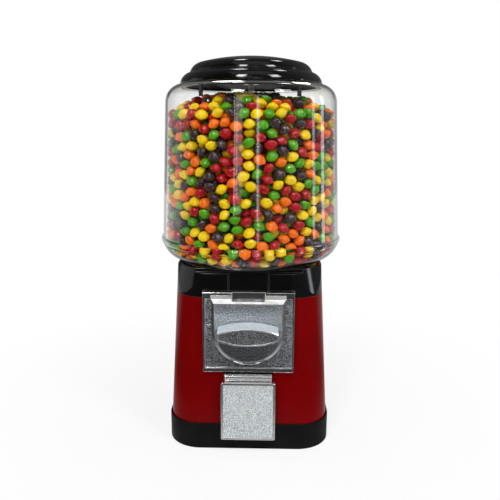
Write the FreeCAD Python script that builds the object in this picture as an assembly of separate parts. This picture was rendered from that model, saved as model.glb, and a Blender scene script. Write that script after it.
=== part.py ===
import FreeCAD, Part
import math
import os

from FreeCAD import Vector

# A coin-operated gumball machine. Lengths are millimetres and angles degrees.
# The origin is the centre of the base's underside, +Z is up and the front is -Y.

# Fits and clearances
RUN_FIT = 0.05
SCREW_FIT = 0.05
PIN_FIT = 0.06
SHELL_FIT = 0.25
SEAT_FIT = 0.3
FOOT_FIT = 0.4
MOVE_GAP = 0.5

# Fasteners
SCREW_RADIUS = 1.9
SCREW_HEAD_RADIUS = 3.6
SCREW_HEAD_HEIGHT = 2.2
SCREW_REACH = 9.0
NUT_HEIGHT = 4.5
NUT_RIM = 2.6

# Base tray
BASE_HALF = 97.4
BASE_HEIGHT = 32.0
BASE_WALL = 4.0
BASE_FLOOR = 4.0
BASE_LIP_WALL = 1.5
BASE_LIP_DEPTH = 6.0
BASE_EDGE_ROUND = 1.2
STAND_HOLE_RADIUS = 5.3
STAND_BOSS_RADIUS = 13.0
STAND_BOSS_RISE = 2.0
POST_RADIUS = 5.0
BASE_POST_INSET = 19.7
BOX_PAD_OFFSET = 45.0

# Body shell
BODY_HEIGHT = 152.8
BODY_TAPER = 2.92
BODY_CORNER = 38.0
SHEET = 1.6
FOOT_TAB_RADIUS = 11.0
TOP_TAB_RADIUS = 14.0
CAP_POST_INSET = 21.5
LIP_WIDTH = 2.0
LIP_PROUD = 1.2

# Hopper cap
CAP_HEIGHT = 32.7
CAP_WALL = 3.0
CAP_FLOOR = 2.5
WELL_RADIUS = 80.4
WELL_WALL = 3.0
CAP_PANEL_DROP = 4.5
CAP_PANEL_HALF = 62.0
CAP_PANEL_DEPTH = 7.0
CAP_TAB_HALF = 22.5
CAP_TAB_DROP = 1.5
CAP_GROOVE = 1.3
CAP_EAR_RADIUS = 100.5
CAP_EAR_SLOPE = 76.0
CAP_RIB_HALF = 30.0
CAP_RIB_DEPTH = 5.0
CAP_RIB_WALL = 2.4
CAP_POCKET_START = 42.0

# Globe
GLOBE_WALL = 2.6
GLOBE_FOOT_DEPTH = 9.0
GLOBE_SEAT_DROP = 2.3
GASKET_THICK = 1.0
GASKET_WIDTH = 4.0
BOWL_ROUND = 29.8
BOWL_CENTRE_RADIUS = 82.0
BOWL_SWEEP = 70.0
BOWL_LEDGE = 0.5
GLOBE_LOW_RADIUS = 110.0
GLOBE_HIGH_RADIUS = 103.6
GLOBE_WALL_HEIGHT = 164.0
BEAD_RADIUS = 4.0
BEAD_PROUD = 2.3
SHOULDER_ROUND = 21.5
NECK_HEIGHT = 4.0

# Lid
LID_WALL = 2.6
LID_HEIGHT = 31.9
LID_CROWN_RADIUS = 255.0
LID_EDGE_ROUND = 16.0
LID_UPPER_RADIUS = 74.3
LID_GROOVE_RADIUS = 73.0
LID_LOWER_HEIGHT = 13.0
LID_GROOVE_HEIGHT = 0.8
LID_LOWER_TOP_RADIUS = 73.8
LID_LOWER_BULGE = 2.2
LID_RIM_FLAT = 1.5
LID_RIM_RADIUS = 85.4
LID_TAB_ANGLES = (-45.0, 90.0, 225.0)
LID_TAB_WIDTH = 5.0
LID_TAB_THICK = 2.2
LID_TAB_DROP = 16.0
LID_BOSS_RADIUS = 18.0
LID_BOSS_DEPTH = 6.0

# Lid lock
LOCK_BARREL_RADIUS = 9.6
LOCK_FLANGE_RADIUS = 13.0
LOCK_FLANGE_HEIGHT = 1.6
LOCK_LENGTH = 20.0
LOCK_PLUG_RADIUS = 6.5
LOCK_PLUG_TAIL = 5.0
LOCK_SINK = 0.4
KEYWAY_WIDTH = 1.6
KEYWAY_LENGTH = 8.0
KEYWAY_DEPTH = 5.0

# Centre rod and its bracket
ROD_RADIUS = 4.0
ROD_SOCKET_DEPTH = 10.0
ROD_TAIL = 3.0
ROD_HOLE_GAP = 0.4
BRACKET_SHEET = 3.0
BRACKET_HALF_DEPTH = 10.0
BRACKET_LEG_X = 54.0
BRACKET_FOOT = 15.0
BRACKET_DROP = 7.3

# Candy wheel
WHEEL_THICK = 18.0
WHEEL_EDGE_GAP = 2.0
HUB_RADIUS = 14.0
POCKETS = 6
POCKET_INNER_RADIUS = 52.5
POCKET_WIDTH = 22.5
POCKET_HALF_ANGLE = 21.0
POCKET_ROUND = 4.0
DROP_HALF_ANGLE = 22.5

# Drive gears
CROWN_TEETH = 48
CROWN_PITCH_RADIUS = 42.0
CROWN_FACE = 6.0
CROWN_RIM_EDGE = 1.0
CROWN_WEB = 4.0
PINION_TEETH = 8
PINION_HUB = 2.0
PRESSURE_ANGLE = 25.0
PINION_ADDENDUM = 1.4
CROWN_ADDENDUM = 1.2
ROOT_CLEARANCE = 0.4
BACKLASH = 0.75
FLANK_POINTS = 5
GEAR_SCREWS = 3
GEAR_SCREW_CIRCLE = 9.5

# Brush
BRUSH_HALF_ANGLE = 28.0
BRUSH_HEIGHT = 17.0
BRUSH_WALL = 2.0
BRUSH_ARM_HALF = 5.0
BRUSH_ARM_THICK = 3.0
BRUSH_RING_RADIUS = 10.0
BRISTLE_WIDTH = 8.0
BRISTLE_HEIGHT = 10.0

# Candy
CANDY_WALL_GAP = 0.4
CANDY_EDGE_HEIGHT = 173.0
CANDY_MOUND = 21.0
CANDY_WIDTH = 13.6
CANDY_FACE_WIDTH = 8.4
CANDY_SIDES = 6
CANDY_PITCH = 25.0
CANDY_BOWL_ANGLE = 47.0
CANDY_RELIEF = 8.0
CANDY_SINK = 1.5

# Chute
CHUTE_WALL = 2.0
CHUTE_HALF = 25.0
CHUTE_INLET_HALF = 30.0
CHUTE_INLET_GAP = 2.5
CHUTE_FUNNEL_TOP = 15.0
CHUTE_FUNNEL_BOTTOM = 0.8
CHUTE_BEND_DROP = 26.0
CHUTE_MOUTH_FLOOR = 6.0
CHUTE_MOUTH_BELOW_HINGE = 15.4
CHUTE_MOUTH_PROUD = 4.0
CHUTE_EAR_THICK = 1.7
CHUTE_EAR_DEPTH = 14.0
CHUTE_EAR_DROP = 30.0
CHUTE_EAR_EDGE = 0.8
CHUTE_EAR_STEP = 4.0
CHUTE_FLANGE = 9.0
DOOR_HALF = 29.4
DOOR_BOTTOM = 2.6
DOOR_TUCK = 1.0

# Chute flap
FLAP_HALF = 31.6
FLAP_TOP_GAP = 5.0
FLAP_LENGTH = 69.5
FLAP_THICK = 2.8
FLAP_LEAN = 3.6
FLAP_SETBACK = 3.8
FLAP_EDGE_CHAMFER = 0.6
FLAP_RIM = 2.9
FLAP_FIELD_DEPTH = 1.0
FLAP_FIELD_BEVEL = 0.45
FLAP_SKIRT = 2.5
FLAP_SKIRT_WALL = 1.6
FLAP_CORNER = 2.0
NECK_HALF = 26.9
HINGE_RADIUS = 4.3
HINGE_PIN_RADIUS = 1.8
HINGE_BELOW_FACE = 5.6
HINGE_PROUD = 1.2
RIB_RADIUS = 2.4

# Coin box
COIN_BOX_HALF = 76.0
COIN_BOX_SHIFT = 4.0
COIN_BOX_HEIGHT = 36.0
COIN_BOX_WALL = 1.6
COIN_BOX_CORNER = 38.0

# Coin mechanism face
AXIS_HEIGHT = 150.5
FACE_HALF = 52.7
FACE_ABOVE = 42.9
FACE_BELOW = 53.5
FACE_PROUD = 4.0
FACE_RIM = 3.3
FACE_BOTTOM_RIM = 6.0
FACE_FIELD_DEPTH = 1.4
WING_FIELD_DEPTH = 0.4
WING_LEDGE = 3.0
FACE_WALL = 2.0
FACE_BEVEL = 0.9
SHIELD_HALF = 43.0
SHIELD_SHOULDER_HALF = 42.2
SHIELD_FRONT_HALF = 39.4
SHIELD_TOP = 39.5
SHIELD_SHOULDER_TOP = 36.0
SHIELD_FRONT_TOP = 31.0
SHIELD_SHOULDER_PROUD = 4.0
SHIELD_PROUD = 6.0
SHIELD_BORDER = 1.2
SHIELD_FIELD_DEPTH = 0.8
SHIELD_WALL = 1.7
NOTCH_HALF = 19.0
NOTCH_FLOOR = 33.8
NOTCH_DEPTH = 8.0
COIN_DIAMETER = 24.3
COIN_THICK = 1.8
COIN_GAP = 0.8
STUD_RADIUS = 3.0
STUD_X = 48.0
STUD_BELOW_AXIS = 6.0
STUD_LENGTH = 14.0

# Coin carrier and shaft
CARRIER_RADIUS = 34.0
CARRIER_THICK = 6.0
COIN_SEAT_RADIUS = 24.0
SHAFT_RADIUS = 4.0
SHAFT_TAIL = 9.0

# Handle
HANDLE_HALF = 34.0
HANDLE_MID_HALF = 10.2
HANDLE_END_HALF = 4.4
HANDLE_DEPTH = 24.2
HANDLE_GAP = 0.8
HANDLE_BORDER = 1.7
HANDLE_FIELD_DEPTH = 0.7
HANDLE_CHAMFER = 0.6
HANDLE_BORE_DEPTH = 17.0
HANDLE_PIN_RADIUS = 1.5
HANDLE_PIN_DEPTH = 10.0

# Mechanism housing
HOUSING_HALF = 39.5
HOUSING_BELOW = 43.0
HOUSING_ABOVE = 26.5
HOUSING_SHEET = 2.2
HOUSING_LEG_HALF = 14.0
HOUSING_DEPTH = 40.0
WINDOW_GAP = 1.5
BUSH_WALL = 2.5
BUSH_FLANGE = 2.5
BUSH_FLANGE_THICK = 1.5
COIN_EXIT_X = 20.0
COIN_EXIT_DROP = 22.0
HOUSING_SCREW_X = 36.5
HOUSING_SCREW_UP = 21.0
HOUSING_SCREW_LOW_X = 12.0
HOUSING_SCREW_DOWN = 38.0
FACE_SCREW_REACH = 3.6

# Ratchet and pawl
RATCHET_TEETH = 12
RATCHET_RADIUS = 17.0
RATCHET_TOOTH_DEPTH = 2.6
RATCHET_THICK = 4.0
RATCHET_SETBACK = 5.0
PAWL_PIVOT_X = 25.0
PAWL_PIVOT_UP = 16.0
PAWL_BOSS_RADIUS = 4.2
PAWL_PIN_RADIUS = 2.0
PAWL_PIN_TAIL = 1.5
PAWL_TIP_UP = 2.0
PAWL_TIP_HALF = 1.4
SPRING_THICK = 0.6
SPRING_BASE = 6.0

# How near counts as the same when edges are picked
SAME_PLACE = 1e-4
SAME_DIRECTION = 1 - 1e-6

UP = Vector(0, 0, 1)
BACK = Vector(0, 1, 0)
RIGHT = Vector(1, 0, 0)
CORNERS = ((1, 1), (-1, 1), (-1, -1), (1, -1))


def tan(angle):
    return math.tan(math.radians(angle))


def polar(radius, angle):
    """Point in the XY plane, with the angle measured from +X."""
    return (radius * math.cos(math.radians(angle)), radius * math.sin(math.radians(angle)))


# Heights and places worked out from the driving dimensions
lip_half = BASE_HALF - BASE_LIP_WALL
base_corner = BODY_CORNER + SHELL_FIT + BASE_LIP_WALL
body_foot_z = BASE_HEIGHT - BASE_LIP_DEPTH
body_foot_half = lip_half - SHELL_FIT
body_top_z = BASE_HEIGHT + BODY_HEIGHT
coin_box_z = BASE_FLOOR + STAND_BOSS_RISE
base_post_reach = body_foot_half - BASE_POST_INSET


def body_half(z):
    """Half width of the tapered body, cap included, at height z."""
    return body_foot_half - (z - body_foot_z) * tan(BODY_TAPER)


cap_top_z = body_top_z + CAP_HEIGHT
cap_post_reach = body_half(body_top_z) - CAP_POST_INSET
wheel_floor_z = body_top_z + CAP_FLOOR
wheel_low_z = wheel_floor_z + SEAT_FIT
wheel_top_z = wheel_low_z + WHEEL_THICK
brush_ring_z = wheel_top_z + MOVE_GAP
wheel_radius = WELL_RADIUS - WHEEL_EDGE_GAP
pocket_outer_radius = POCKET_INNER_RADIUS + POCKET_WIDTH
gasket_z = cap_top_z - GLOBE_SEAT_DROP
globe_z = gasket_z + GASKET_THICK
globe_foot_radius = WELL_RADIUS - FOOT_FIT
bowl_seat_reach = max(WELL_RADIUS - BOWL_CENTRE_RADIUS, 0)
bowl_centre_z = globe_z + math.sqrt(BOWL_ROUND ** 2 - bowl_seat_reach ** 2)
bead_z = bowl_centre_z - BEAD_RADIUS - SEAT_FIT
shoulder_z = bead_z + GLOBE_WALL_HEIGHT
neck_radius = GLOBE_HIGH_RADIUS - SHOULDER_ROUND
globe_top_z = shoulder_z + SHOULDER_ROUND
lid_z = globe_top_z + SEAT_FIT
lid_top_z = lid_z + LID_HEIGHT
lid_skirt_radius = neck_radius + FOOT_FIT
lid_boss_z = lid_top_z - LID_WALL - LID_BOSS_DEPTH
lock_top_z = lid_top_z - LOCK_SINK
lock_low_z = lid_top_z - LOCK_LENGTH
plug_low_z = lock_low_z - LOCK_PLUG_TAIL
plug_socket_radius = ROD_RADIUS + RUN_FIT
rod_top_z = plug_low_z + ROD_SOCKET_DEPTH - MOVE_GAP

face_low_z = AXIS_HEIGHT - FACE_BELOW
face_top_z = AXIS_HEIGHT + FACE_ABOVE
face_y = -(body_half(face_low_z) + FACE_PROUD)
shield_y = face_y - SHIELD_PROUD
shield_floor_y = shield_y + SHIELD_FIELD_DEPTH
cavity_y = shield_floor_y + SHIELD_WALL
pocket_y = face_y + FACE_FIELD_DEPTH + FACE_WALL
carrier_y = cavity_y + MOVE_GAP
carrier_cavity_radius = CARRIER_RADIUS + MOVE_GAP
handle_back_y = shield_y - HANDLE_GAP
handle_front_y = handle_back_y - HANDLE_DEPTH
housing_back_y = pocket_y + HOUSING_SHEET
frame_back_y = pocket_y + HOUSING_DEPTH
ratchet_y = housing_back_y + RATCHET_SETBACK
pinion_front_y = -CROWN_PITCH_RADIUS - CROWN_FACE / 2
pinion_back_y = pinion_front_y + CROWN_FACE
shaft_end_y = pinion_back_y + SHAFT_TAIL
stud_z = AXIS_HEIGHT - STUD_BELOW_AXIS
pawl_pivot_z = AXIS_HEIGHT + PAWL_PIVOT_UP
bush_radius = SHAFT_RADIUS + BUSH_WALL
pinion_pitch_radius = CROWN_PITCH_RADIUS * PINION_TEETH / CROWN_TEETH
pinion_root_radius = pinion_pitch_radius - CROWN_ADDENDUM - ROOT_CLEARANCE
mesh_z = AXIS_HEIGHT + pinion_pitch_radius
crown_tip_z = mesh_z - CROWN_ADDENDUM
crown_root_z = mesh_z + PINION_ADDENDUM + ROOT_CLEARANCE
crown_top_z = crown_root_z + CROWN_WEB
crown_radius = CROWN_PITCH_RADIUS + CROWN_FACE / 2 + CROWN_RIM_EDGE
chute_inlet_front = crown_radius + MOVE_GAP + CHUTE_WALL
chute_inlet_back = pocket_outer_radius + CHUTE_INLET_GAP
bracket_z = crown_tip_z - BRACKET_DROP

door_low_z = BASE_HEIGHT + DOOR_BOTTOM
door_top_z = face_low_z + DOOR_TUCK
mouth_floor_z = BASE_HEIGHT + CHUTE_MOUTH_FLOOR
mouth_y = -(body_half(mouth_floor_z) + CHUTE_MOUTH_PROUD)
hinge_z = face_low_z - HINGE_BELOW_FACE
mouth_roof_z = hinge_z - CHUTE_MOUTH_BELOW_HINGE
hinge_y = face_y - HINGE_PROUD


# Shared shapes
def box(x0, x1, y0, y1, z0, z1):
    return Part.makeBox(x1 - x0, y1 - y0, z1 - z0, Vector(x0, y0, z0))


def rod(radius, start, axis, length):
    return Part.makeCylinder(radius, length, start, axis)


def tube(outer, inner, start, axis, length):
    return rod(outer, start, axis, length).cut(rod(inner, start, axis, length))


def path_edges(start, steps):
    """Edges through 3-D points: a step is (end,) for a line or (middle, end) for an arc."""
    edges = []
    here = start
    for step in steps:
        end = step[-1]
        if len(step) == 1:
            edges.append(Part.LineSegment(here, end).toShape())
        else:
            edges.append(Part.Arc(here, step[0], end).toShape())
        here = end
    return edges


def closed_face(start, steps):
    return Part.Face(Part.Wire(path_edges(start, list(steps) + [(start,)])))


def turned(start, steps):
    """Solid of revolution about Z from a profile of (radius, height) pairs."""
    def place(pair):
        return Vector(pair[0], 0, pair[1])
    placed = [tuple(place(pair) for pair in step) for step in steps]
    return closed_face(place(start), placed).revolve(Vector(0, 0, 0), UP, 360)


def polygon_prism(points, direction):
    wire = Part.makePolygon(list(points) + [points[0]])
    return Part.Face(wire).extrude(direction)


def rounded_square(half, corner, z):
    """Wire of a rounded square at height z."""
    flat = half - corner
    bend = flat + corner * math.sqrt(0.5)
    start = Vector(half, -flat, z)
    steps = []
    for quarter in range(4):
        turn = FreeCAD.Rotation(UP, 90 * quarter)
        steps.append((turn.multVec(Vector(half, flat, z)),))
        steps.append((turn.multVec(Vector(bend, bend, z)), turn.multVec(Vector(flat, half, z))))
    return Part.Wire(path_edges(start, steps))


def rounded_prism(half, corner, z0, z1):
    return Part.Face(rounded_square(half, corner, z0)).extrude(Vector(0, 0, z1 - z0))


def body_prism(z0, z1, inset):
    """Tapered rounded-square block that follows the body, drawn in by an inset."""
    wires = [rounded_square(body_half(z) - inset, BODY_CORNER - inset, z) for z in (z0, z1)]
    return Part.makeLoft(wires, True, True)


def sector_prism(inner, outer, half_angle, z0, z1):
    """Block between two radii, centred on +Y."""
    def spot(radius, angle):
        x, y = polar(radius, 90 + angle)
        return Vector(x, y, z0)
    steps = [
        (spot(outer, 0), spot(outer, -half_angle)),
        (spot(inner, -half_angle),),
        (spot(inner, 0), spot(inner, half_angle)),
    ]
    return closed_face(spot(outer, half_angle), steps).extrude(Vector(0, 0, z1 - z0))


def bevelled_pocket(half, z0, z1, y, depth, bevel):
    """Tool that sinks a rectangular field into a face at y, with sloping sides."""
    def outline(grow, at):
        x = half + grow
        low = z0 - grow
        high = z1 + grow
        corners = [Vector(-x, at, low), Vector(x, at, low), Vector(x, at, high), Vector(-x, at, high)]
        return Part.makePolygon(corners + [corners[0]])
    return Part.makeLoft([outline(0, y + depth), outline(bevel, y)], True, True)


def upright_edges(shape):
    """Straight edges that run along Z."""
    found = []
    for edge in shape.Edges:
        if isinstance(edge.Curve, Part.Line) and abs(edge.Curve.Direction.z) > SAME_DIRECTION:
            found.append(edge)
    return found


def level_edges(shape, z):
    """Edges that lie at one height."""
    found = []
    for edge in shape.Edges:
        bounds = edge.BoundBox
        if abs(bounds.ZMin - z) < SAME_PLACE and abs(bounds.ZMax - z) < SAME_PLACE:
            found.append(edge)
    return found


def front_edges(shape, y):
    """Edges that lie in one plane facing the front."""
    found = []
    for edge in shape.Edges:
        bounds = edge.BoundBox
        if abs(bounds.YMin - y) < SAME_PLACE and abs(bounds.YMax - y) < SAME_PLACE:
            found.append(edge)
    return found


def screw(seat, direction, length):
    """Screw with its head's underside at the seat and its shank along the direction."""
    head = rod(SCREW_HEAD_RADIUS, seat, direction * -1, SCREW_HEAD_HEIGHT)
    return head.fuse(rod(SCREW_RADIUS, seat, direction, length))


def screw_hole(seat, direction, length):
    return rod(SCREW_RADIUS + SCREW_FIT, seat, direction, length + SEAT_FIT)


def nut(start, axis, bore):
    """Hexagon nut round a bore, seated at its start."""
    turn = FreeCAD.Rotation(UP, axis)
    corners = []
    for index in range(6):
        x, y = polar(bore + NUT_RIM, 60 * index)
        corners.append(start + turn.multVec(Vector(x, y, 0)))
    return polygon_prism(corners, axis * NUT_HEIGHT).cut(rod(bore + SCREW_FIT, start, axis, NUT_HEIGHT))


def group(shapes):
    return Part.makeCompound(list(shapes))


# Base tray
def post_spots(reach):
    return [(sx * reach, sy * reach) for sx, sy in CORNERS]


def base_tray():
    blank = rounded_prism(BASE_HALF, base_corner, 0, BASE_HEIGHT)
    rims = level_edges(blank, 0) + level_edges(blank, BASE_HEIGHT)
    blank = blank.makeFillet(BASE_EDGE_ROUND, rims)
    hollow = rounded_prism(BASE_HALF - BASE_WALL, base_corner - BASE_WALL, BASE_FLOOR, BASE_HEIGHT)
    lip = rounded_prism(lip_half, base_corner - BASE_LIP_WALL, body_foot_z, BASE_HEIGHT)
    tray = blank.cut(hollow.fuse(lip))
    for x, y in post_spots(base_post_reach):
        post = rod(POST_RADIUS, Vector(x, y, BASE_FLOOR), UP, body_foot_z - BASE_FLOOR)
        tray = tray.fuse(post)
        tray = tray.cut(screw_hole(Vector(x, y, body_foot_z), -UP, SCREW_REACH))
    for x, y in post_spots(BOX_PAD_OFFSET):
        tray = tray.fuse(rod(POST_RADIUS, Vector(x, y, BASE_FLOOR), UP, STAND_BOSS_RISE))
    tray = tray.fuse(rod(STAND_BOSS_RADIUS, Vector(0, 0, BASE_FLOOR), UP, STAND_BOSS_RISE))
    return tray.cut(rod(STAND_HOLE_RADIUS, Vector(0, 0, 0), UP, BASE_FLOOR + STAND_BOSS_RISE))


def base_screws():
    seat_z = body_foot_z + SHEET
    length = SHEET + SCREW_REACH
    return group(screw(Vector(x, y, seat_z), -UP, length) for x, y in post_spots(base_post_reach))


def coin_box():
    outer = rounded_prism(COIN_BOX_HALF, COIN_BOX_CORNER, coin_box_z, coin_box_z + COIN_BOX_HEIGHT)
    inner_half = COIN_BOX_HALF - COIN_BOX_WALL
    inner_corner = COIN_BOX_CORNER - COIN_BOX_WALL
    top_z = coin_box_z + COIN_BOX_HEIGHT
    tray = outer.cut(rounded_prism(inner_half, inner_corner, coin_box_z + COIN_BOX_WALL, top_z))
    tray.translate(Vector(0, COIN_BOX_SHIFT, 0))
    return tray


# Body shell
def front_cut(half, z0, z1):
    """Block that cuts an opening in the front wall only."""
    return box(-half, half, -BASE_HALF - FACE_PROUD, -BODY_CORNER, z0, z1)


def body_shell():
    outer = body_prism(body_foot_z, body_top_z, 0)
    shell = outer.cut(body_prism(body_foot_z, body_top_z, SHEET))
    foot_tabs = (base_post_reach, body_foot_z, FOOT_TAB_RADIUS)
    top_tabs = (cap_post_reach, body_top_z - SHEET, TOP_TAB_RADIUS)
    for reach, z, radius in (foot_tabs, top_tabs):
        for x, y in post_spots(reach):
            tab = rod(radius, Vector(x, y, z), UP, SHEET).common(outer)
            shell = shell.fuse(tab.cut(rod(SCREW_RADIUS + SCREW_FIT, Vector(x, y, z), UP, SHEET)))
    lip_half_width = DOOR_HALF + LIP_WIDTH
    raised = body_prism(door_low_z - LIP_WIDTH, face_low_z, -LIP_PROUD).cut(outer)
    shell = shell.fuse(raised.common(front_cut(lip_half_width, door_low_z - LIP_WIDTH, face_low_z)))
    shell = shell.cut(front_cut(DOOR_HALF, door_low_z, door_top_z))
    window_low = AXIS_HEIGHT - HOUSING_BELOW - WINDOW_GAP
    window_top = AXIS_HEIGHT + HOUSING_ABOVE + WINDOW_GAP
    shell = shell.cut(front_cut(HOUSING_HALF + WINDOW_GAP, window_low, window_top))
    for x in (-STUD_X, STUD_X):
        shell = shell.cut(rod(STUD_RADIUS + SEAT_FIT, Vector(x, face_y, stud_z), BACK, STUD_LENGTH))
    return shell.removeSplitter()


# Hopper cap
def bowl_point(radius, angle):
    """Point of an arc about the bowl's centre, the angle measured from straight down."""
    x, down = polar(radius, angle - 90)
    return (BOWL_CENTRE_RADIUS + x, bowl_centre_z + down)


def ear_cone(inset):
    """Cone that rounds the cap's four corners up to the globe."""
    spread = CAP_HEIGHT / tan(CAP_EAR_SLOPE)
    low = CAP_EAR_RADIUS + spread - inset
    return Part.makeCone(low, CAP_EAR_RADIUS - inset, CAP_HEIGHT, Vector(0, 0, body_top_z), UP)


def globe_dish():
    """Space for the globe's bowl and its gasket in the top of the cap."""
    radius = BOWL_ROUND + MOVE_GAP
    ledge = WELL_RADIUS + GASKET_WIDTH + SEAT_FIT
    low_angle = math.degrees(math.asin((ledge - BOWL_CENTRE_RADIUS) / radius))
    high_angle = math.degrees(math.acos((bowl_centre_z - cap_top_z) / radius))
    steps = [
        ((ledge, gasket_z),),
        (bowl_point(radius, low_angle),),
        (bowl_point(radius, (low_angle + high_angle) / 2), bowl_point(radius, high_angle)),
        ((0, cap_top_z),),
    ]
    return turned((0, gasket_z), steps)


def cap_front_panels():
    """Tools that sink the two front panels and part them from the centre tab."""
    tools = []
    back_y = -(body_half(cap_top_z) - CAP_PANEL_DEPTH)
    front_y = -BASE_HALF
    tab_z = cap_top_z - CAP_TAB_DROP
    tools.append(box(-CAP_TAB_HALF, CAP_TAB_HALF, front_y, back_y, tab_z, cap_top_z))
    groove_floor = body_prism(body_top_z, cap_top_z, CAP_GROOVE)
    for side in (-1, 1):
        edges = sorted((side * CAP_TAB_HALF, side * CAP_PANEL_HALF))
        panel_z = cap_top_z - CAP_PANEL_DROP
        tools.append(box(edges[0], edges[1], front_y, back_y, panel_z, cap_top_z))
        edges = sorted((side * CAP_TAB_HALF, side * (CAP_TAB_HALF + CAP_GROOVE)))
        strip = box(edges[0], edges[1], front_y, back_y, body_top_z, cap_top_z)
        tools.append(strip.cut(groove_floor))
    return tools


def cap_corner_pockets():
    """Hollows under the four corners, outside the round well."""
    top_z = cap_top_z - CAP_PANEL_DROP - CAP_WALL
    hollow = body_prism(body_top_z, top_z, CAP_WALL).common(ear_cone(CAP_WALL))
    hollow = hollow.cut(rod(WELL_RADIUS + WELL_WALL, Vector(0, 0, body_top_z), UP, CAP_HEIGHT))
    for x, y in post_spots(cap_post_reach):
        hollow = hollow.cut(rod(POST_RADIUS, Vector(x, y, body_top_z), UP, CAP_HEIGHT))
    far = BASE_HALF
    near = CAP_POCKET_START
    pockets = []
    for sx, sy in CORNERS:
        x0, x1 = sorted((sx * near, sx * far))
        y0, y1 = sorted((sy * near, sy * far))
        pockets.append(hollow.common(box(x0, x1, y0, y1, body_top_z, top_z)))
    return pockets


def cap_ribs():
    """Straight ribs that locate the cap inside the top of the shell."""
    outside = body_half(body_top_z) - SHEET - SEAT_FIT
    inside = outside - CAP_RIB_WALL
    rib_z = body_top_z - CAP_RIB_DEPTH
    rib = box(-CAP_RIB_HALF, CAP_RIB_HALF, inside, outside, rib_z, body_top_z)
    ribs = []
    for quarter in range(4):
        turned_rib = rib.copy()
        turned_rib.rotate(Vector(0, 0, 0), UP, 90 * quarter)
        ribs.append(turned_rib)
    return ribs


def mech_space():
    """Room below the cap for the ratchet, its pawl and the plate's screws, however high the axis is."""
    side = HOUSING_SCREW_X + SCREW_HEAD_RADIUS + MOVE_GAP
    back_y = ratchet_y + RATCHET_THICK + MOVE_GAP
    pawl_up = PAWL_PIVOT_UP + PAWL_BOSS_RADIUS
    screw_up = HOUSING_SCREW_UP + SCREW_HEAD_RADIUS
    top_z = AXIS_HEIGHT + max(RATCHET_RADIUS, pawl_up, screw_up) + MOVE_GAP
    return box(-side, side, housing_back_y, back_y, AXIS_HEIGHT, top_z)


def hopper_cap():
    cap = body_prism(body_top_z, cap_top_z, 0).common(ear_cone(0))
    cap = cap.cut(cap_front_panels())
    cap = cap.cut(globe_dish())
    cap = cap.cut(rod(WELL_RADIUS, Vector(0, 0, wheel_floor_z), UP, CAP_HEIGHT))
    cap = cap.cut(cap_corner_pockets())
    cap = cap.fuse(cap_ribs()).cut(mech_space())
    cap = cap.cut(rod(HUB_RADIUS + RUN_FIT, Vector(0, 0, body_top_z), UP, CAP_FLOOR))
    limits = (POCKET_INNER_RADIUS, pocket_outer_radius)
    cap = cap.cut(sector_prism(*limits, DROP_HALF_ANGLE, body_top_z, wheel_floor_z))
    for x, y in post_spots(cap_post_reach):
        cap = cap.cut(screw_hole(Vector(x, y, body_top_z), UP, SCREW_REACH))
    for x, y in bracket_screw_spots() + chute_screw_spots():
        cap = cap.cut(rod(SCREW_RADIUS + SCREW_FIT, Vector(x, y, body_top_z), UP, CAP_FLOOR))
    return cap.removeSplitter()


def cap_screws():
    seat_z = body_top_z - SHEET
    length = SHEET + SCREW_REACH
    return group(screw(Vector(x, y, seat_z), UP, length) for x, y in post_spots(cap_post_reach))


# Globe and candy
def globe_gasket():
    return tube(WELL_RADIUS + GASKET_WIDTH, WELL_RADIUS, Vector(0, 0, gasket_z), UP, GASKET_THICK)


def bowl_arc(radius, start_reach):
    """Start, middle and end of an arc of the bowl that starts no nearer the axis than a given reach."""
    start = math.degrees(math.asin(max(start_reach - BOWL_CENTRE_RADIUS, 0) / radius))
    return [bowl_point(radius, angle) for angle in (start, (start + BOWL_SWEEP) / 2, BOWL_SWEEP)]


def globe():
    inner_foot = globe_foot_radius - GLOBE_WALL
    inner_neck = neck_radius - GLOBE_WALL
    inner_bowl = BOWL_ROUND - GLOBE_WALL
    inner_shoulder = SHOULDER_ROUND - GLOBE_WALL
    outer_arc = bowl_arc(BOWL_ROUND, WELL_RADIUS)
    inner_arc = bowl_arc(inner_bowl, inner_foot + BOWL_LEDGE)
    diagonal = math.sqrt(0.5)
    neck_top_z = globe_top_z + NECK_HEIGHT
    foot_z = globe_z - GLOBE_FOOT_DEPTH
    outer_middle = (neck_radius + SHOULDER_ROUND * diagonal, shoulder_z + SHOULDER_ROUND * diagonal)
    inner_middle = (neck_radius + inner_shoulder * diagonal, shoulder_z + inner_shoulder * diagonal)
    steps = [
        ((globe_foot_radius, globe_z),),
        (outer_arc[0],),
        (outer_arc[1], outer_arc[2]),
        ((GLOBE_LOW_RADIUS, bead_z),),
        ((GLOBE_HIGH_RADIUS, shoulder_z),),
        (outer_middle, (neck_radius, globe_top_z)),
        ((neck_radius, neck_top_z),),
        ((inner_neck, neck_top_z),),
        ((inner_neck, globe_top_z - GLOBE_WALL),),
        ((neck_radius, globe_top_z - GLOBE_WALL),),
        (inner_middle, (GLOBE_HIGH_RADIUS - GLOBE_WALL, shoulder_z)),
        ((GLOBE_LOW_RADIUS - GLOBE_WALL, bead_z),),
        (inner_arc[2],),
        (inner_arc[1], inner_arc[0]),
        ((inner_foot, inner_arc[0][1]),),
        ((inner_foot, foot_z),),
    ]
    wall = turned((globe_foot_radius, foot_z), steps)
    bead_circle = GLOBE_LOW_RADIUS + BEAD_PROUD - BEAD_RADIUS
    bead = Part.makeTorus(bead_circle, BEAD_RADIUS, Vector(0, 0, bead_z), UP)
    core = rod(GLOBE_LOW_RADIUS - GLOBE_WALL / 2, Vector(0, 0, globe_z), UP, GLOBE_WALL_HEIGHT)
    return wall.fuse(bead.cut(core))


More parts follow.
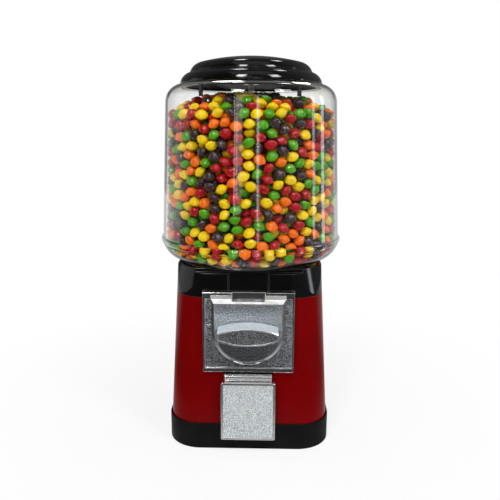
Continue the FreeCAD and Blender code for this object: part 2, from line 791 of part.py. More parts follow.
def heap_edge(gap):
    """Radius and height of the heap's upper edge, a gap inside the globe's outer wall."""
    edge_z = globe_z + CANDY_EDGE_HEIGHT
    climb = (edge_z - bead_z) / GLOBE_WALL_HEIGHT
    return (GLOBE_LOW_RADIUS - gap - climb * (GLOBE_LOW_RADIUS - GLOBE_HIGH_RADIUS), edge_z)


def mound_rise(share):
    """Height of the mound above the heap's edge, at a share of its radius."""
    return CANDY_MOUND * (1 - share ** 2)


def heap_core():
    """Body of the heap, drawn in from the globe and the mound by the candies' relief."""
    gap = GLOBE_WALL + CANDY_WALL_GAP
    inset = gap + CANDY_RELIEF
    rod_gap = ROD_RADIUS + MOVE_GAP
    low_z = wheel_top_z + MOVE_GAP
    foot = globe_foot_radius - gap
    arc = bowl_arc(BOWL_ROUND - inset, foot + BOWL_LEDGE)
    edge, edge_z = heap_edge(inset)
    edge_z -= CANDY_RELIEF
    steps = [
        ((foot, low_z),),
        ((foot, arc[0][1]),),
        (arc[0],),
        (arc[1], arc[2]),
        ((GLOBE_LOW_RADIUS - inset, bead_z),),
        ((edge, edge_z),),
        ((edge / 2, edge_z + mound_rise(1 / 2)), (rod_gap, edge_z + CANDY_MOUND)),
    ]
    return turned((rod_gap, low_z), steps)


def candy_rows():
    """Rows of candies as the radius, height and upward tilt of their faces."""
    gap = GLOBE_WALL + CANDY_WALL_GAP
    edge, edge_z = heap_edge(gap)
    rows = [bowl_point(BOWL_ROUND - gap, CANDY_BOWL_ANGLE) + (CANDY_BOWL_ANGLE - 90,)]
    foot = GLOBE_LOW_RADIUS - gap
    tilt = math.degrees(math.atan((foot - edge) / (edge_z - bead_z)))
    levels = round((edge_z - bead_z) / (CANDY_PITCH * math.sqrt(3) / 2))
    for index in range(levels):
        share = (index + 0.5) / levels
        rows.append((foot + (edge - foot) * share, bead_z + (edge_z - bead_z) * share, tilt))
    rings = round(edge / CANDY_PITCH)
    for index in range(1, rings):
        radius = edge * index / rings
        slope = 2 * CANDY_MOUND * radius / edge ** 2
        height = edge_z + mound_rise(radius / edge)
        rows.append((radius, height, 90 - math.degrees(math.atan(slope))))
    return rows


def candy_plug():
    """One candy with its face at the origin, looking along +X, and its back sunk in the heap."""
    sections = ((-CANDY_RELIEF - CANDY_SINK, CANDY_WIDTH / 2), (0, CANDY_FACE_WIDTH / 2))
    wires = []
    for x, radius in sections:
        corners = []
        for index in range(CANDY_SIDES + 1):
            y, z = polar(radius, 360 / CANDY_SIDES * index)
            corners.append(Vector(x, y, z))
        wires.append(Part.makePolygon(corners))
    return Part.makeLoft(wires, True, True)


def candy_fill():
    """Heap of candies: a core with staggered rows of candies that stand out of it."""
    first = candy_plug()
    candies = []
    for row, (radius, height, tilt) in enumerate(candy_rows()):
        count = round(2 * math.pi * radius / CANDY_PITCH)
        lean = FreeCAD.Rotation(BACK, -tilt)
        for index in range(count):
            turn = FreeCAD.Rotation(UP, 360 / count * (index + row % 2 / 2))
            spot = turn.multVec(Vector(radius, 0, height))
            candy = first.copy()
            candy.Placement = FreeCAD.Placement(spot, turn.multiply(lean))
            candies.append(candy)
    return heap_core().cut(brush_space()).fuse(group(candies))


# Lid and lock
def lid_outline():
    """Centres and angles of the lid's crown and edge arcs."""
    crown_z = lid_top_z - LID_CROWN_RADIUS
    edge_r = LID_UPPER_RADIUS - LID_EDGE_ROUND
    reach = LID_CROWN_RADIUS - LID_EDGE_ROUND
    edge_z = crown_z + math.sqrt(reach ** 2 - edge_r ** 2)
    blend = math.asin(edge_r / reach)
    foot = math.acos((lid_z + LID_LOWER_HEIGHT + LID_GROOVE_HEIGHT - edge_z) / LID_EDGE_ROUND)
    return crown_z, edge_r, edge_z, blend, foot


def lid_shell():
    crown_z, edge_r, edge_z, blend, foot = lid_outline()

    def crown(radius, angle):
        return (radius * math.sin(angle), crown_z + radius * math.cos(angle))

    def edge(radius, angle):
        return (edge_r + radius * math.sin(angle), edge_z + radius * math.cos(angle))

    inner_crown = LID_CROWN_RADIUS - LID_WALL
    inner_edge = LID_EDGE_ROUND - LID_WALL
    groove_z = lid_z + LID_LOWER_HEIGHT
    skirt_z = globe_top_z + NECK_HEIGHT + SEAT_FIT
    rim_z = lid_z + LID_RIM_FLAT
    slope = Vector(LID_RIM_RADIUS - LID_LOWER_TOP_RADIUS, 0, rim_z - groove_z)
    out = Vector(-slope.z, 0, slope.x).normalize() * LID_LOWER_BULGE
    bulge = ((LID_RIM_RADIUS + LID_LOWER_TOP_RADIUS) / 2 + out.x, (rim_z + groove_z) / 2 + out.z)
    steps = [
        (crown(LID_CROWN_RADIUS, blend / 2), crown(LID_CROWN_RADIUS, blend)),
        (edge(LID_EDGE_ROUND, (blend + foot) / 2), edge(LID_EDGE_ROUND, foot)),
        ((LID_GROOVE_RADIUS, groove_z + LID_GROOVE_HEIGHT),),
        ((LID_GROOVE_RADIUS, groove_z),),
        ((LID_LOWER_TOP_RADIUS, groove_z),),
        (bulge, (LID_RIM_RADIUS, rim_z)),
        ((LID_RIM_RADIUS, lid_z),),
        ((lid_skirt_radius, lid_z),),
        ((lid_skirt_radius, skirt_z),),
        ((LID_GROOVE_RADIUS - LID_WALL / 2, groove_z - LID_WALL),),
        (edge(inner_edge, foot),),
        (edge(inner_edge, (blend + foot) / 2), edge(inner_edge, blend)),
        (crown(inner_crown, blend / 2), (0, lid_top_z - LID_WALL)),
    ]
    return turned((0, lid_top_z), steps)


def lid():
    shell = lid_shell()
    tab_outer = neck_radius - GLOBE_WALL - MOVE_GAP
    tab_low_z = globe_top_z - LID_TAB_DROP
    tab_top_z = globe_top_z + NECK_HEIGHT + LID_WALL
    collar = tube(tab_outer, tab_outer - LID_TAB_THICK, Vector(0, 0, tab_low_z), UP, tab_top_z - tab_low_z)
    half = LID_TAB_WIDTH / 2
    for angle in LID_TAB_ANGLES:
        keeper = box(0, tab_outer, -half, half, tab_low_z, tab_top_z)
        keeper.rotate(Vector(0, 0, 0), UP, angle)
        shell = shell.fuse(collar.common(keeper))
    boss = rod(LID_BOSS_RADIUS, Vector(0, 0, lid_boss_z), UP, lid_top_z - LID_WALL / 2 - lid_boss_z)
    shell = shell.fuse(boss)
    shell = shell.cut(rod(LOCK_BARREL_RADIUS + SCREW_FIT, Vector(0, 0, lid_boss_z), UP, LID_HEIGHT))
    flange_z = lock_top_z - LOCK_FLANGE_HEIGHT
    flange = rod(LOCK_FLANGE_RADIUS + SCREW_FIT, Vector(0, 0, flange_z), UP, LID_HEIGHT)
    return shell.cut(flange).removeSplitter()


def lock_housing():
    barrel = rod(LOCK_BARREL_RADIUS, Vector(0, 0, lock_low_z), UP, lock_top_z - lock_low_z)
    flange_z = lock_top_z - LOCK_FLANGE_HEIGHT
    body = barrel.fuse(rod(LOCK_FLANGE_RADIUS, Vector(0, 0, flange_z), UP, LOCK_FLANGE_HEIGHT))
    return body.cut(rod(LOCK_PLUG_RADIUS + RUN_FIT, Vector(0, 0, lock_low_z), UP, LOCK_LENGTH))


def lock_nut():
    return nut(Vector(0, 0, lid_boss_z - NUT_HEIGHT), UP, LOCK_BARREL_RADIUS)


def lock_plug():
    plug = rod(LOCK_PLUG_RADIUS, Vector(0, 0, plug_low_z), UP, lock_top_z - plug_low_z)
    collar_height = lock_low_z - SEAT_FIT - plug_low_z
    plug = plug.fuse(rod(LOCK_BARREL_RADIUS, Vector(0, 0, plug_low_z), UP, collar_height))
    plug = plug.cut(rod(plug_socket_radius, Vector(0, 0, plug_low_z), UP, ROD_SOCKET_DEPTH))
    half = KEYWAY_LENGTH / 2
    wide = KEYWAY_WIDTH / 2
    return plug.cut(box(-half, half, -wide, wide, lock_top_z - KEYWAY_DEPTH, lock_top_z))


# Centre rod and bracket
def center_rod():
    low_z = bracket_z - BRACKET_SHEET - NUT_HEIGHT - ROD_TAIL
    return rod(ROD_RADIUS, Vector(0, 0, low_z), UP, rod_top_z - low_z)


def rod_nuts():
    heights = (bracket_z, bracket_z - BRACKET_SHEET - NUT_HEIGHT, brush_ring_z + BRUSH_ARM_THICK)
    return group(nut(Vector(0, 0, z), UP, ROD_RADIUS) for z in heights)


def bracket_screw_spots():
    reach = BRACKET_LEG_X + BRACKET_FOOT / 2
    return [(-reach, 0), (reach, 0)]


def rod_bracket():
    deep = BRACKET_HALF_DEPTH
    strap_z = bracket_z - BRACKET_SHEET
    strap = box(-BRACKET_LEG_X, BRACKET_LEG_X, -deep, deep, strap_z, bracket_z)
    foot_z = body_top_z - BRACKET_SHEET
    for side in (-1, 1):
        leg_x = sorted((side * BRACKET_LEG_X, side * (BRACKET_LEG_X - BRACKET_SHEET)))
        strap = strap.fuse(box(leg_x[0], leg_x[1], -deep, deep, bracket_z, body_top_z))
        foot_x = sorted((side * BRACKET_LEG_X, side * (BRACKET_LEG_X + BRACKET_FOOT)))
        strap = strap.fuse(box(foot_x[0], foot_x[1], -deep, deep, foot_z, body_top_z))
    for x, y in bracket_screw_spots():
        strap = strap.cut(screw_hole(Vector(x, y, foot_z), UP, BRACKET_SHEET))
    strap = strap.cut(rod(ROD_RADIUS + SCREW_FIT, Vector(0, 0, strap_z), UP, BRACKET_SHEET))
    return strap.removeSplitter()


def floor_screws(spots, sheet):
    """Screws from below through a sheet into the cap's floor."""
    length = sheet + CAP_FLOOR - MOVE_GAP
    return group(screw(Vector(x, y, body_top_z - sheet), UP, length) for x, y in spots)


# Candy wheel and gears
def candy_wheel():
    wheel = rod(wheel_radius, Vector(0, 0, wheel_low_z), UP, WHEEL_THICK)
    wheel = wheel.fuse(rod(HUB_RADIUS, Vector(0, 0, crown_top_z), UP, wheel_low_z - crown_top_z))
    limits = (POCKET_INNER_RADIUS, pocket_outer_radius)
    pocket = sector_prism(*limits, POCKET_HALF_ANGLE, wheel_low_z, wheel_top_z)
    pocket = pocket.makeFillet(POCKET_ROUND, upright_edges(pocket))
    for index in range(POCKETS):
        turned_pocket = pocket.copy()
        turned_pocket.rotate(Vector(0, 0, 0), UP, 360 / POCKETS * index)
        wheel = wheel.cut(turned_pocket)
    height = wheel_top_z - crown_top_z
    wheel = wheel.cut(rod(ROD_RADIUS + ROD_HOLE_GAP, Vector(0, 0, crown_top_z), UP, height))
    for x, y in gear_screw_spots():
        wheel = wheel.cut(screw_hole(Vector(x, y, crown_top_z), UP, SCREW_REACH))
    return wheel.removeSplitter()


def gear_screw_spots():
    return [polar(GEAR_SCREW_CIRCLE, 90 + 360 / GEAR_SCREWS * index) for index in range(GEAR_SCREWS)]


def gear_screws():
    length = CROWN_WEB + SCREW_REACH
    return group(screw(Vector(x, y, crown_root_z), UP, length) for x, y in gear_screw_spots())


def tooth_half(radius, teeth):
    """Half the tooth's thickness on the pitch line, with its share of the backlash."""
    return math.pi * radius / (2 * teeth) - BACKLASH / 4


def crown_tooth():
    """One downward tooth of the crown gear, centred on -Y and wider towards its rim."""
    wires = []
    slope = tan(PRESSURE_ANGLE)
    for radius in (CROWN_PITCH_RADIUS - CROWN_FACE / 2, CROWN_PITCH_RADIUS + CROWN_FACE / 2):
        half = tooth_half(radius, CROWN_TEETH)
        tip = half - CROWN_ADDENDUM * slope
        root = half + (crown_root_z - mesh_z) * slope
        corners = [
            Vector(-tip, -radius, crown_tip_z),
            Vector(tip, -radius, crown_tip_z),
            Vector(root, -radius, crown_root_z),
            Vector(-root, -radius, crown_root_z),
        ]
        wires.append(Part.makePolygon(corners + [corners[0]]))
    return Part.makeLoft(wires, True, True)


def wheel_gear():
    disc = rod(crown_radius, Vector(0, 0, crown_root_z), UP, CROWN_WEB)
    first = crown_tooth()
    teeth = []
    for index in range(CROWN_TEETH):
        tooth = first.copy()
        tooth.rotate(Vector(0, 0, 0), UP, 360 / CROWN_TEETH * (index + 0.5))
        teeth.append(tooth)
    gear = disc.fuse(teeth)
    gear = gear.cut(rod(ROD_RADIUS + ROD_HOLE_GAP, Vector(0, 0, crown_root_z), UP, CROWN_WEB))
    for x, y in gear_screw_spots():
        gear = gear.cut(screw_hole(Vector(x, y, crown_root_z), UP, CROWN_WEB))
    return gear.removeSplitter()


def pinion_tooth():
    """One involute tooth pointing up, from inside the root circle to the tip circle."""
    base = pinion_pitch_radius * math.cos(math.radians(PRESSURE_ANGLE))
    tip = pinion_pitch_radius + PINION_ADDENDUM
    pitch_angle = tooth_half(pinion_pitch_radius, PINION_TEETH) / pinion_pitch_radius

    def involute(radius):
        turn = math.acos(base / radius)
        return math.tan(turn) - turn

    def flank(radius, side):
        angle = side * (pitch_angle + involute(pinion_pitch_radius) - involute(radius))
        return Vector(radius * math.sin(angle), pinion_front_y, AXIS_HEIGHT + radius * math.cos(angle))

    step = (tip - base) / (FLANK_POINTS - 1)
    radii = [base + step * index for index in range(FLANK_POINTS)]
    foot = pinion_root_radius / base
    edges = []
    ends = []
    for side in (-1, 1):
        curve = Part.BSplineCurve()
        curve.interpolate([flank(radius, side) for radius in radii])
        start = flank(base, side)
        low = Vector(start.x * foot, start.y, AXIS_HEIGHT + (start.z - AXIS_HEIGHT) * foot)
        edges.append(curve.toShape())
        edges.append(Part.LineSegment(low, start).toShape())
        ends.append(low)
    top = Vector(0, pinion_front_y, AXIS_HEIGHT + tip)
    edges.append(Part.Arc(flank(tip, -1), top, flank(tip, 1)).toShape())
    edges.append(Part.LineSegment(ends[0], ends[1]).toShape())
    return Part.Face(Part.Wire(Part.__sortEdges__(edges))).extrude(BACK * CROWN_FACE)


def drive_pinion():
    centre = Vector(0, pinion_front_y, AXIS_HEIGHT)
    core = rod(pinion_root_radius, centre, BACK, CROWN_FACE + PINION_HUB)
    first = pinion_tooth()
    teeth = []
    for index in range(PINION_TEETH):
        tooth = first.copy()
        tooth.rotate(centre, BACK, 360 / PINION_TEETH * index)
        teeth.append(tooth)
    gear = core.fuse(teeth)
    return gear.cut(rod(SHAFT_RADIUS + SCREW_FIT, centre, BACK, CROWN_FACE + PINION_HUB)).removeSplitter()


# Brush
def brush_housing():
    inner = POCKET_INNER_RADIUS - BRUSH_WALL
    outer = globe_foot_radius - GLOBE_WALL - FOOT_FIT
    top_z = brush_ring_z + BRUSH_HEIGHT
    cover = sector_prism(inner, outer, BRUSH_HALF_ANGLE, brush_ring_z, top_z)
    hollow_angle = BRUSH_HALF_ANGLE - math.degrees(BRUSH_WALL / inner)
    limits = (inner + BRUSH_WALL, outer - BRUSH_WALL)
    cover = cover.cut(sector_prism(*limits, hollow_angle, brush_ring_z, top_z - BRUSH_WALL))
    half = BRUSH_ARM_HALF
    arm = box(-half, half, 0, inner + BRUSH_WALL / 2, brush_ring_z, brush_ring_z + BRUSH_ARM_THICK)
    centre = Vector(0, 0, brush_ring_z)
    ring = rod(BRUSH_RING_RADIUS, centre, UP, BRUSH_ARM_THICK)
    cover = cover.fuse([arm, ring])
    return cover.cut(rod(ROD_RADIUS + SCREW_FIT, centre, UP, BRUSH_ARM_THICK)).removeSplitter()


def brush():
    """Bristle strip along one side of the brush housing, over the drop hole's edge."""
    inner = POCKET_INNER_RADIUS + SEAT_FIT
    outer = globe_foot_radius - GLOBE_WALL - FOOT_FIT - BRUSH_WALL - SEAT_FIT
    top_z = brush_ring_z + BRUSH_HEIGHT - BRUSH_WALL
    strip = box(-BRISTLE_WIDTH / 2, BRISTLE_WIDTH / 2, inner, outer, top_z - BRISTLE_HEIGHT, top_z)
    strip.rotate(Vector(0, 0, 0), UP, POCKET_HALF_ANGLE - math.degrees(BRISTLE_WIDTH / inner))
    return strip


def brush_space():
    """Room that the candy leaves for the brush housing, its arm and its nut."""
    gap = CANDY_WALL_GAP
    inner = POCKET_INNER_RADIUS - BRUSH_WALL - gap
    outer = globe_foot_radius
    top_z = brush_ring_z + BRUSH_HEIGHT + gap
    low_z = wheel_top_z
    turn = math.degrees(gap / inner)
    cover = sector_prism(inner, outer, BRUSH_HALF_ANGLE + turn, low_z, top_z)
    half = BRUSH_ARM_HALF + gap
    arm_z = brush_ring_z + BRUSH_ARM_THICK + gap
    arm = box(-half, half, 0, inner + BRUSH_WALL, low_z, arm_z)
    ring = rod(BRUSH_RING_RADIUS + gap, Vector(0, 0, low_z), UP, arm_z + NUT_HEIGHT - low_z)
    return [cover, arm, ring]


# Chute
def chute_screw_spots():
    x = CHUTE_INLET_HALF + CHUTE_WALL + CHUTE_FLANGE / 2
    y = (chute_inlet_front + chute_inlet_back) / 2
    return [(-x, y), (x, y)]


def chute_body(grow):
    """Block of the chute's passage: an inlet box, a funnel and a sloping duct, grown by a wall."""
    top_z = body_top_z
    duct_z = bracket_z + CHUTE_FUNNEL_BOTTOM
    funnel_z = duct_z + CHUTE_FUNNEL_TOP
    bend_z = duct_z - CHUTE_BEND_DROP
    front = chute_inlet_front - grow
    back = chute_inlet_back + grow
    wide = CHUTE_INLET_HALF + grow
    slim = CHUTE_HALF + grow

    def level(half, z):
        corners = [
            Vector(-half, front, z),
            Vector(half, front, z),
            Vector(half, back, z),
            Vector(-half, back, z),
        ]
        return Part.makePolygon(corners + [corners[0]])

    inlet = box(-wide, wide, front, back, funnel_z, top_z)
    funnel = Part.makeLoft([level(wide, funnel_z), level(slim, duct_z)], True, True)
    floor_slope = (bend_z - mouth_floor_z) / (chute_inlet_back - mouth_y)
    floor_grow = grow * math.sqrt(1 + floor_slope ** 2)
    roof_slope = (duct_z - mouth_roof_z) / (chute_inlet_front - mouth_y)
    roof_grow = grow * math.sqrt(1 + roof_slope ** 2)
    profile = [
        Vector(-slim, back, duct_z),
        Vector(-slim, back, bend_z + floor_slope * grow - floor_grow),
        Vector(-slim, mouth_y, mouth_floor_z - floor_grow),
        Vector(-slim, mouth_y, mouth_roof_z + roof_grow),
        Vector(-slim, front, duct_z - roof_slope * grow + roof_grow),
    ]
    duct = polygon_prism(profile, RIGHT * slim * 2)
    return inlet.fuse([funnel, duct])


def chute_ears():
    """Cheeks beside the mouth that carry the flap's pin."""
    ear_out = NECK_HALF + FOOT_FIT + CHUTE_EAR_THICK
    ear_in = NECK_HALF + FOOT_FIT
    wall = CHUTE_HALF + CHUTE_WALL
    front = hinge_y - HINGE_PIN_RADIUS - CHUTE_EAR_EDGE
    back = front + CHUTE_EAR_DEPTH
    low_z = hinge_z - CHUTE_EAR_DROP
    top_z = hinge_z + HINGE_PIN_RADIUS + CHUTE_EAR_EDGE
    step_z = hinge_z - HINGE_RADIUS - CHUTE_EAR_STEP
    ears = []
    for side in (-1, 1):
        thin = sorted((side * ear_in, side * ear_out))
        ears.append(box(thin[0], thin[1], front, back, low_z, top_z))
        thick = sorted((side * wall, side * ear_out))
        ears.append(box(thick[0], thick[1], front, back, low_z, step_z))
    return ears


def chute():
    duct = chute_body(CHUTE_WALL)
    flange_x = CHUTE_INLET_HALF + CHUTE_WALL + CHUTE_FLANGE
    flange_z = body_top_z - CHUTE_WALL
    flange = box(-flange_x, flange_x, chute_inlet_front, chute_inlet_back, flange_z, body_top_z)
    duct = duct.fuse([flange] + chute_ears())
    duct = duct.cut(chute_body(0))
    pin_hole = rod(HINGE_PIN_RADIUS + SCREW_FIT, Vector(-flange_x, hinge_y, hinge_z), RIGHT, flange_x * 2)
    duct = duct.cut(pin_hole)
    for x, y in chute_screw_spots():
        duct = duct.cut(screw_hole(Vector(x, y, flange_z), UP, CHUTE_WALL))
    return duct.removeSplitter()


def flap_pin():
    reach = NECK_HALF + FOOT_FIT + CHUTE_EAR_THICK
    return rod(HINGE_PIN_RADIUS, Vector(-reach, hinge_y, hinge_z), RIGHT, reach * 2)


def chute_flap():
    """Cast flap, drawn with its hinge line at the origin and then leaned out at its foot."""
    front = -FLAP_SETBACK - FLAP_THICK
    top = -FLAP_TOP_GAP
    low = top - FLAP_LENGTH
    plate = box(-FLAP_HALF, FLAP_HALF, front, -FLAP_SETBACK + FLAP_SKIRT, low, top)
    corners = [edge for edge in plate.Edges if abs(edge.tangentAt(edge.FirstParameter).y) > SAME_DIRECTION]
    plate = plate.makeFillet(FLAP_CORNER, corners)
    plate = plate.makeChamfer(FLAP_EDGE_CHAMFER, front_edges(plate, front))
    inside = FLAP_HALF - FLAP_SKIRT_WALL
    hollow = box(-inside, inside, -FLAP_SETBACK, FLAP_SKIRT, low + FLAP_SKIRT_WALL, top)
    plate = plate.cut(hollow)
    field_half = FLAP_HALF - FLAP_RIM
    field_low = low + FLAP_RIM
    field_top = top - FLAP_RIM
    sink = (FLAP_FIELD_DEPTH, FLAP_FIELD_BEVEL)
    plate = plate.cut(bevelled_pocket(field_half, field_low, field_top, front, *sink))
    neck_back = -FLAP_SETBACK + FLAP_SKIRT
    neck = box(-NECK_HALF, NECK_HALF, -FLAP_SETBACK - RIB_RADIUS / 2, neck_back, top - FLAP_RIM, 0)
    barrel = rod(HINGE_RADIUS, Vector(-NECK_HALF, 0, 0), RIGHT, NECK_HALF * 2)
    rib_z = -HINGE_RADIUS + RIB_RADIUS / 2
    rib = rod(RIB_RADIUS, Vector(-NECK_HALF, -FLAP_SETBACK, rib_z), RIGHT, NECK_HALF * 2)
    flap = plate.fuse([neck, barrel, rib])
    flap = flap.cut(rod(HINGE_PIN_RADIUS + PIN_FIT, Vector(-NECK_HALF, 0, 0), RIGHT, NECK_HALF * 2))
    flap = flap.removeSplitter()
    flap.rotate(Vector(0, 0, 0), RIGHT, -FLAP_LEAN)
    flap.translate(Vector(0, hinge_y, hinge_z))
    return flap


# Coin mechanism
def shield_wire(half, top, y):
    """Shield outline: straight sides and top, with a half-circle round the handle's axis below."""
    start = Vector(-half, y, AXIS_HEIGHT + top)
    steps = [
        (Vector(half, y, AXIS_HEIGHT + top),),
        (Vector(half, y, AXIS_HEIGHT),),
        (Vector(0, y, AXIS_HEIGHT - half), Vector(-half, y, AXIS_HEIGHT)),
        (start,),
    ]
    return Part.Wire(path_edges(start, steps))


def shield_block():
    sections = (
        (SHIELD_HALF, SHIELD_TOP, face_y + FACE_FIELD_DEPTH),
        (SHIELD_HALF, SHIELD_TOP, face_y),
        (SHIELD_SHOULDER_HALF, SHIELD_SHOULDER_TOP, face_y - SHIELD_SHOULDER_PROUD),
        (SHIELD_FRONT_HALF, SHIELD_FRONT_TOP, shield_y),
    )
    block = Part.makeLoft([shield_wire(*section) for section in sections], True, True)
    field = shield_wire(SHIELD_FRONT_HALF - SHIELD_BORDER, SHIELD_FRONT_TOP - SHIELD_BORDER, shield_y)
    return block.cut(Part.Face(field).extrude(BACK * SHIELD_FIELD_DEPTH))


def face_screw_spots():
    high = [(side * HOUSING_SCREW_X, AXIS_HEIGHT + HOUSING_SCREW_UP) for side in (-1, 1)]
    low = [(side * HOUSING_SCREW_LOW_X, AXIS_HEIGHT - HOUSING_SCREW_DOWN) for side in (-1, 1)]
    return high + low


def mech_face():
    envelope = body_prism(body_foot_z, cap_top_z, 0)
    face = box(-FACE_HALF, FACE_HALF, face_y, -BODY_CORNER, face_low_z, face_top_z)
    face = face.makeFillet(FACE_BEVEL, front_edges(face, face_y)).cut(envelope)
    field_half = FACE_HALF - FACE_RIM
    ledge_z = AXIS_HEIGHT + WING_LEDGE
    low_field_z = face_low_z + FACE_BOTTOM_RIM
    top_field_z = AXIS_HEIGHT + SHIELD_SHOULDER_TOP - FACE_BEVEL
    face = face.cut(bevelled_pocket(field_half, low_field_z, ledge_z, face_y, FACE_FIELD_DEPTH, FACE_BEVEL))
    wing_low_z = ledge_z + FACE_BEVEL * 2
    depth = WING_FIELD_DEPTH
    face = face.cut(bevelled_pocket(field_half, wing_low_z, top_field_z, face_y, depth, depth))
    face = face.fuse(shield_block())
    notch_z = AXIS_HEIGHT + NOTCH_FLOOR
    face = face.cut(box(-NOTCH_HALF, NOTCH_HALF, shield_y, shield_y + NOTCH_DEPTH, notch_z, face_top_z))
    slot_half = (COIN_DIAMETER + COIN_GAP) / 2
    slot_y = carrier_y + COIN_THICK + COIN_GAP
    face = face.cut(box(-slot_half, slot_half, carrier_y, slot_y, AXIS_HEIGHT + COIN_SEAT_RADIUS, notch_z))
    hollow_low = face_low_z + FACE_RIM
    hollow_top = face_top_z - FACE_RIM
    face = face.cut(box(-field_half, field_half, pocket_y, -BODY_CORNER, hollow_low, hollow_top))
    axis = Vector(0, cavity_y, AXIS_HEIGHT)
    face = face.cut(rod(carrier_cavity_radius, axis, BACK, pocket_y - cavity_y))
    face = face.cut(rod(SHAFT_RADIUS + RUN_FIT, Vector(0, shield_y, AXIS_HEIGHT), BACK, SHIELD_PROUD))
    for x, z in face_screw_spots():
        face = face.cut(screw_hole(Vector(x, pocket_y, z), -BACK, FACE_SCREW_REACH))
    for x in (-STUD_X, STUD_X):
        start = Vector(x, face_y + FACE_FIELD_DEPTH + FACE_WALL / 2, stud_z)
        face = face.fuse(rod(STUD_RADIUS, start, BACK, STUD_LENGTH))
    return face.removeSplitter()


def mech_nuts():
    """Nuts on the face's studs, against the inside of the sheet."""
    high_z = stud_z + STUD_RADIUS + NUT_RIM
    seat_y = -(body_half(high_z) - SHEET) + SCREW_FIT
    return group(nut(Vector(x, seat_y, stud_z), BACK, STUD_RADIUS) for x in (-STUD_X, STUD_X))


def mech_housing():
    half = HOUSING_HALF
    low_z = AXIS_HEIGHT - HOUSING_BELOW
    frame = box(-half, half, pocket_y, housing_back_y, low_z, AXIS_HEIGHT + HOUSING_ABOVE)
    leg_low = AXIS_HEIGHT - HOUSING_LEG_HALF
    leg_top = AXIS_HEIGHT + HOUSING_LEG_HALF
    for side in (-1, 1):
        leg = sorted((side * half, side * (half - HOUSING_SHEET)))
        frame = frame.fuse(box(leg[0], leg[1], housing_back_y, frame_back_y, leg_low, leg_top))
    frame = frame.fuse(box(-half, half, frame_back_y - HOUSING_SHEET, frame_back_y, leg_low, leg_top))
    axis = Vector(0, pocket_y, AXIS_HEIGHT)
    frame = frame.cut(rod(bush_radius + SCREW_FIT, axis, BACK, HOUSING_DEPTH))
    exit_spot = Vector(COIN_EXIT_X, pocket_y, AXIS_HEIGHT - COIN_EXIT_DROP)
    frame = frame.cut(rod((COIN_DIAMETER + COIN_GAP) / 2, exit_spot, BACK, HOUSING_SHEET))
    for x, z in face_screw_spots():
        frame = frame.cut(rod(SCREW_RADIUS + SCREW_FIT, Vector(x, pocket_y, z), BACK, HOUSING_SHEET))
    pivot = Vector(PAWL_PIVOT_X, pocket_y, pawl_pivot_z)
    return frame.cut(rod(PAWL_PIN_RADIUS + SCREW_FIT, pivot, BACK, HOUSING_SHEET)).removeSplitter()


def housing_screws():
    length = HOUSING_SHEET + FACE_SCREW_REACH
    return group(screw(Vector(x, housing_back_y, z), -BACK, length) for x, z in face_screw_spots())


def shaft_bushes():
    """Flanged bushes in the front plate and in the rear web."""
    bushes = []
    for y in (housing_back_y, frame_back_y):
        sleeve = rod(bush_radius, Vector(0, y - HOUSING_SHEET, AXIS_HEIGHT), BACK, HOUSING_SHEET)
        flange = rod(bush_radius + BUSH_FLANGE, Vector(0, y, AXIS_HEIGHT), BACK, BUSH_FLANGE_THICK)
        length = HOUSING_SHEET + BUSH_FLANGE_THICK
        bore = rod(SHAFT_RADIUS + RUN_FIT, Vector(0, y - HOUSING_SHEET, AXIS_HEIGHT), BACK, length)
        bushes.append(sleeve.fuse(flange).cut(bore))
    return group(bushes)


def coin_carrier():
    axis = Vector(0, carrier_y, AXIS_HEIGHT)
    disc = rod(CARRIER_RADIUS, axis, BACK, CARRIER_THICK)
    seat = Vector(0, carrier_y, AXIS_HEIGHT + COIN_SEAT_RADIUS)
    disc = disc.cut(rod((COIN_DIAMETER + COIN_GAP) / 2, seat, BACK, COIN_THICK + COIN_GAP))
    return disc.cut(rod(SHAFT_RADIUS + SCREW_FIT, axis, BACK, CARRIER_THICK))


def handle_shaft():
    start = Vector(0, handle_back_y - HANDLE_BORE_DEPTH, AXIS_HEIGHT)
    shaft = rod(SHAFT_RADIUS, start, BACK, shaft_end_y - start.y)
    return shaft.cut(handle_pin_bore())


def handle_pin_bore():
    """Hole for the pin, carried on below it to the handle's edge."""
    start = handle_pin_start() - UP * HANDLE_MID_HALF
    return rod(HANDLE_PIN_RADIUS + SCREW_FIT, start, UP, handle_pin_length() + HANDLE_MID_HALF)


def handle_pin_start():
    return Vector(0, handle_back_y - HANDLE_PIN_DEPTH, AXIS_HEIGHT - HANDLE_MID_HALF + HANDLE_BORDER)


def handle_pin_length():
    return HANDLE_MID_HALF - HANDLE_BORDER + SHAFT_RADIUS


def handle_pin():
    return rod(HANDLE_PIN_RADIUS, handle_pin_start(), UP, handle_pin_length())


def lens_face(inset, y):
    """Lens-shaped grip outline with blunt ends."""
    half = HANDLE_HALF - inset
    middle = HANDLE_MID_HALF - inset
    end = HANDLE_END_HALF - inset
    start = Vector(-half, y, AXIS_HEIGHT + end)
    steps = [
        (Vector(0, y, AXIS_HEIGHT + middle), Vector(half, y, AXIS_HEIGHT + end)),
        (Vector(half, y, AXIS_HEIGHT - end),),
        (Vector(0, y, AXIS_HEIGHT - middle), Vector(-half, y, AXIS_HEIGHT - end)),
    ]
    return closed_face(start, steps)


def turn_handle():
    grip = lens_face(0, handle_front_y).extrude(BACK * HANDLE_DEPTH)
    grip = grip.makeChamfer(HANDLE_CHAMFER, front_edges(grip, handle_front_y))
    grip = grip.cut(lens_face(HANDLE_BORDER, handle_front_y).extrude(BACK * HANDLE_FIELD_DEPTH))
    start = Vector(0, handle_back_y - HANDLE_BORE_DEPTH, AXIS_HEIGHT)
    grip = grip.cut(rod(SHAFT_RADIUS + SCREW_FIT, start, BACK, HANDLE_BORE_DEPTH))
    return grip.cut(handle_pin_bore())


def shaft_nut():
    return nut(Vector(0, pinion_back_y + PINION_HUB, AXIS_HEIGHT), BACK, SHAFT_RADIUS)


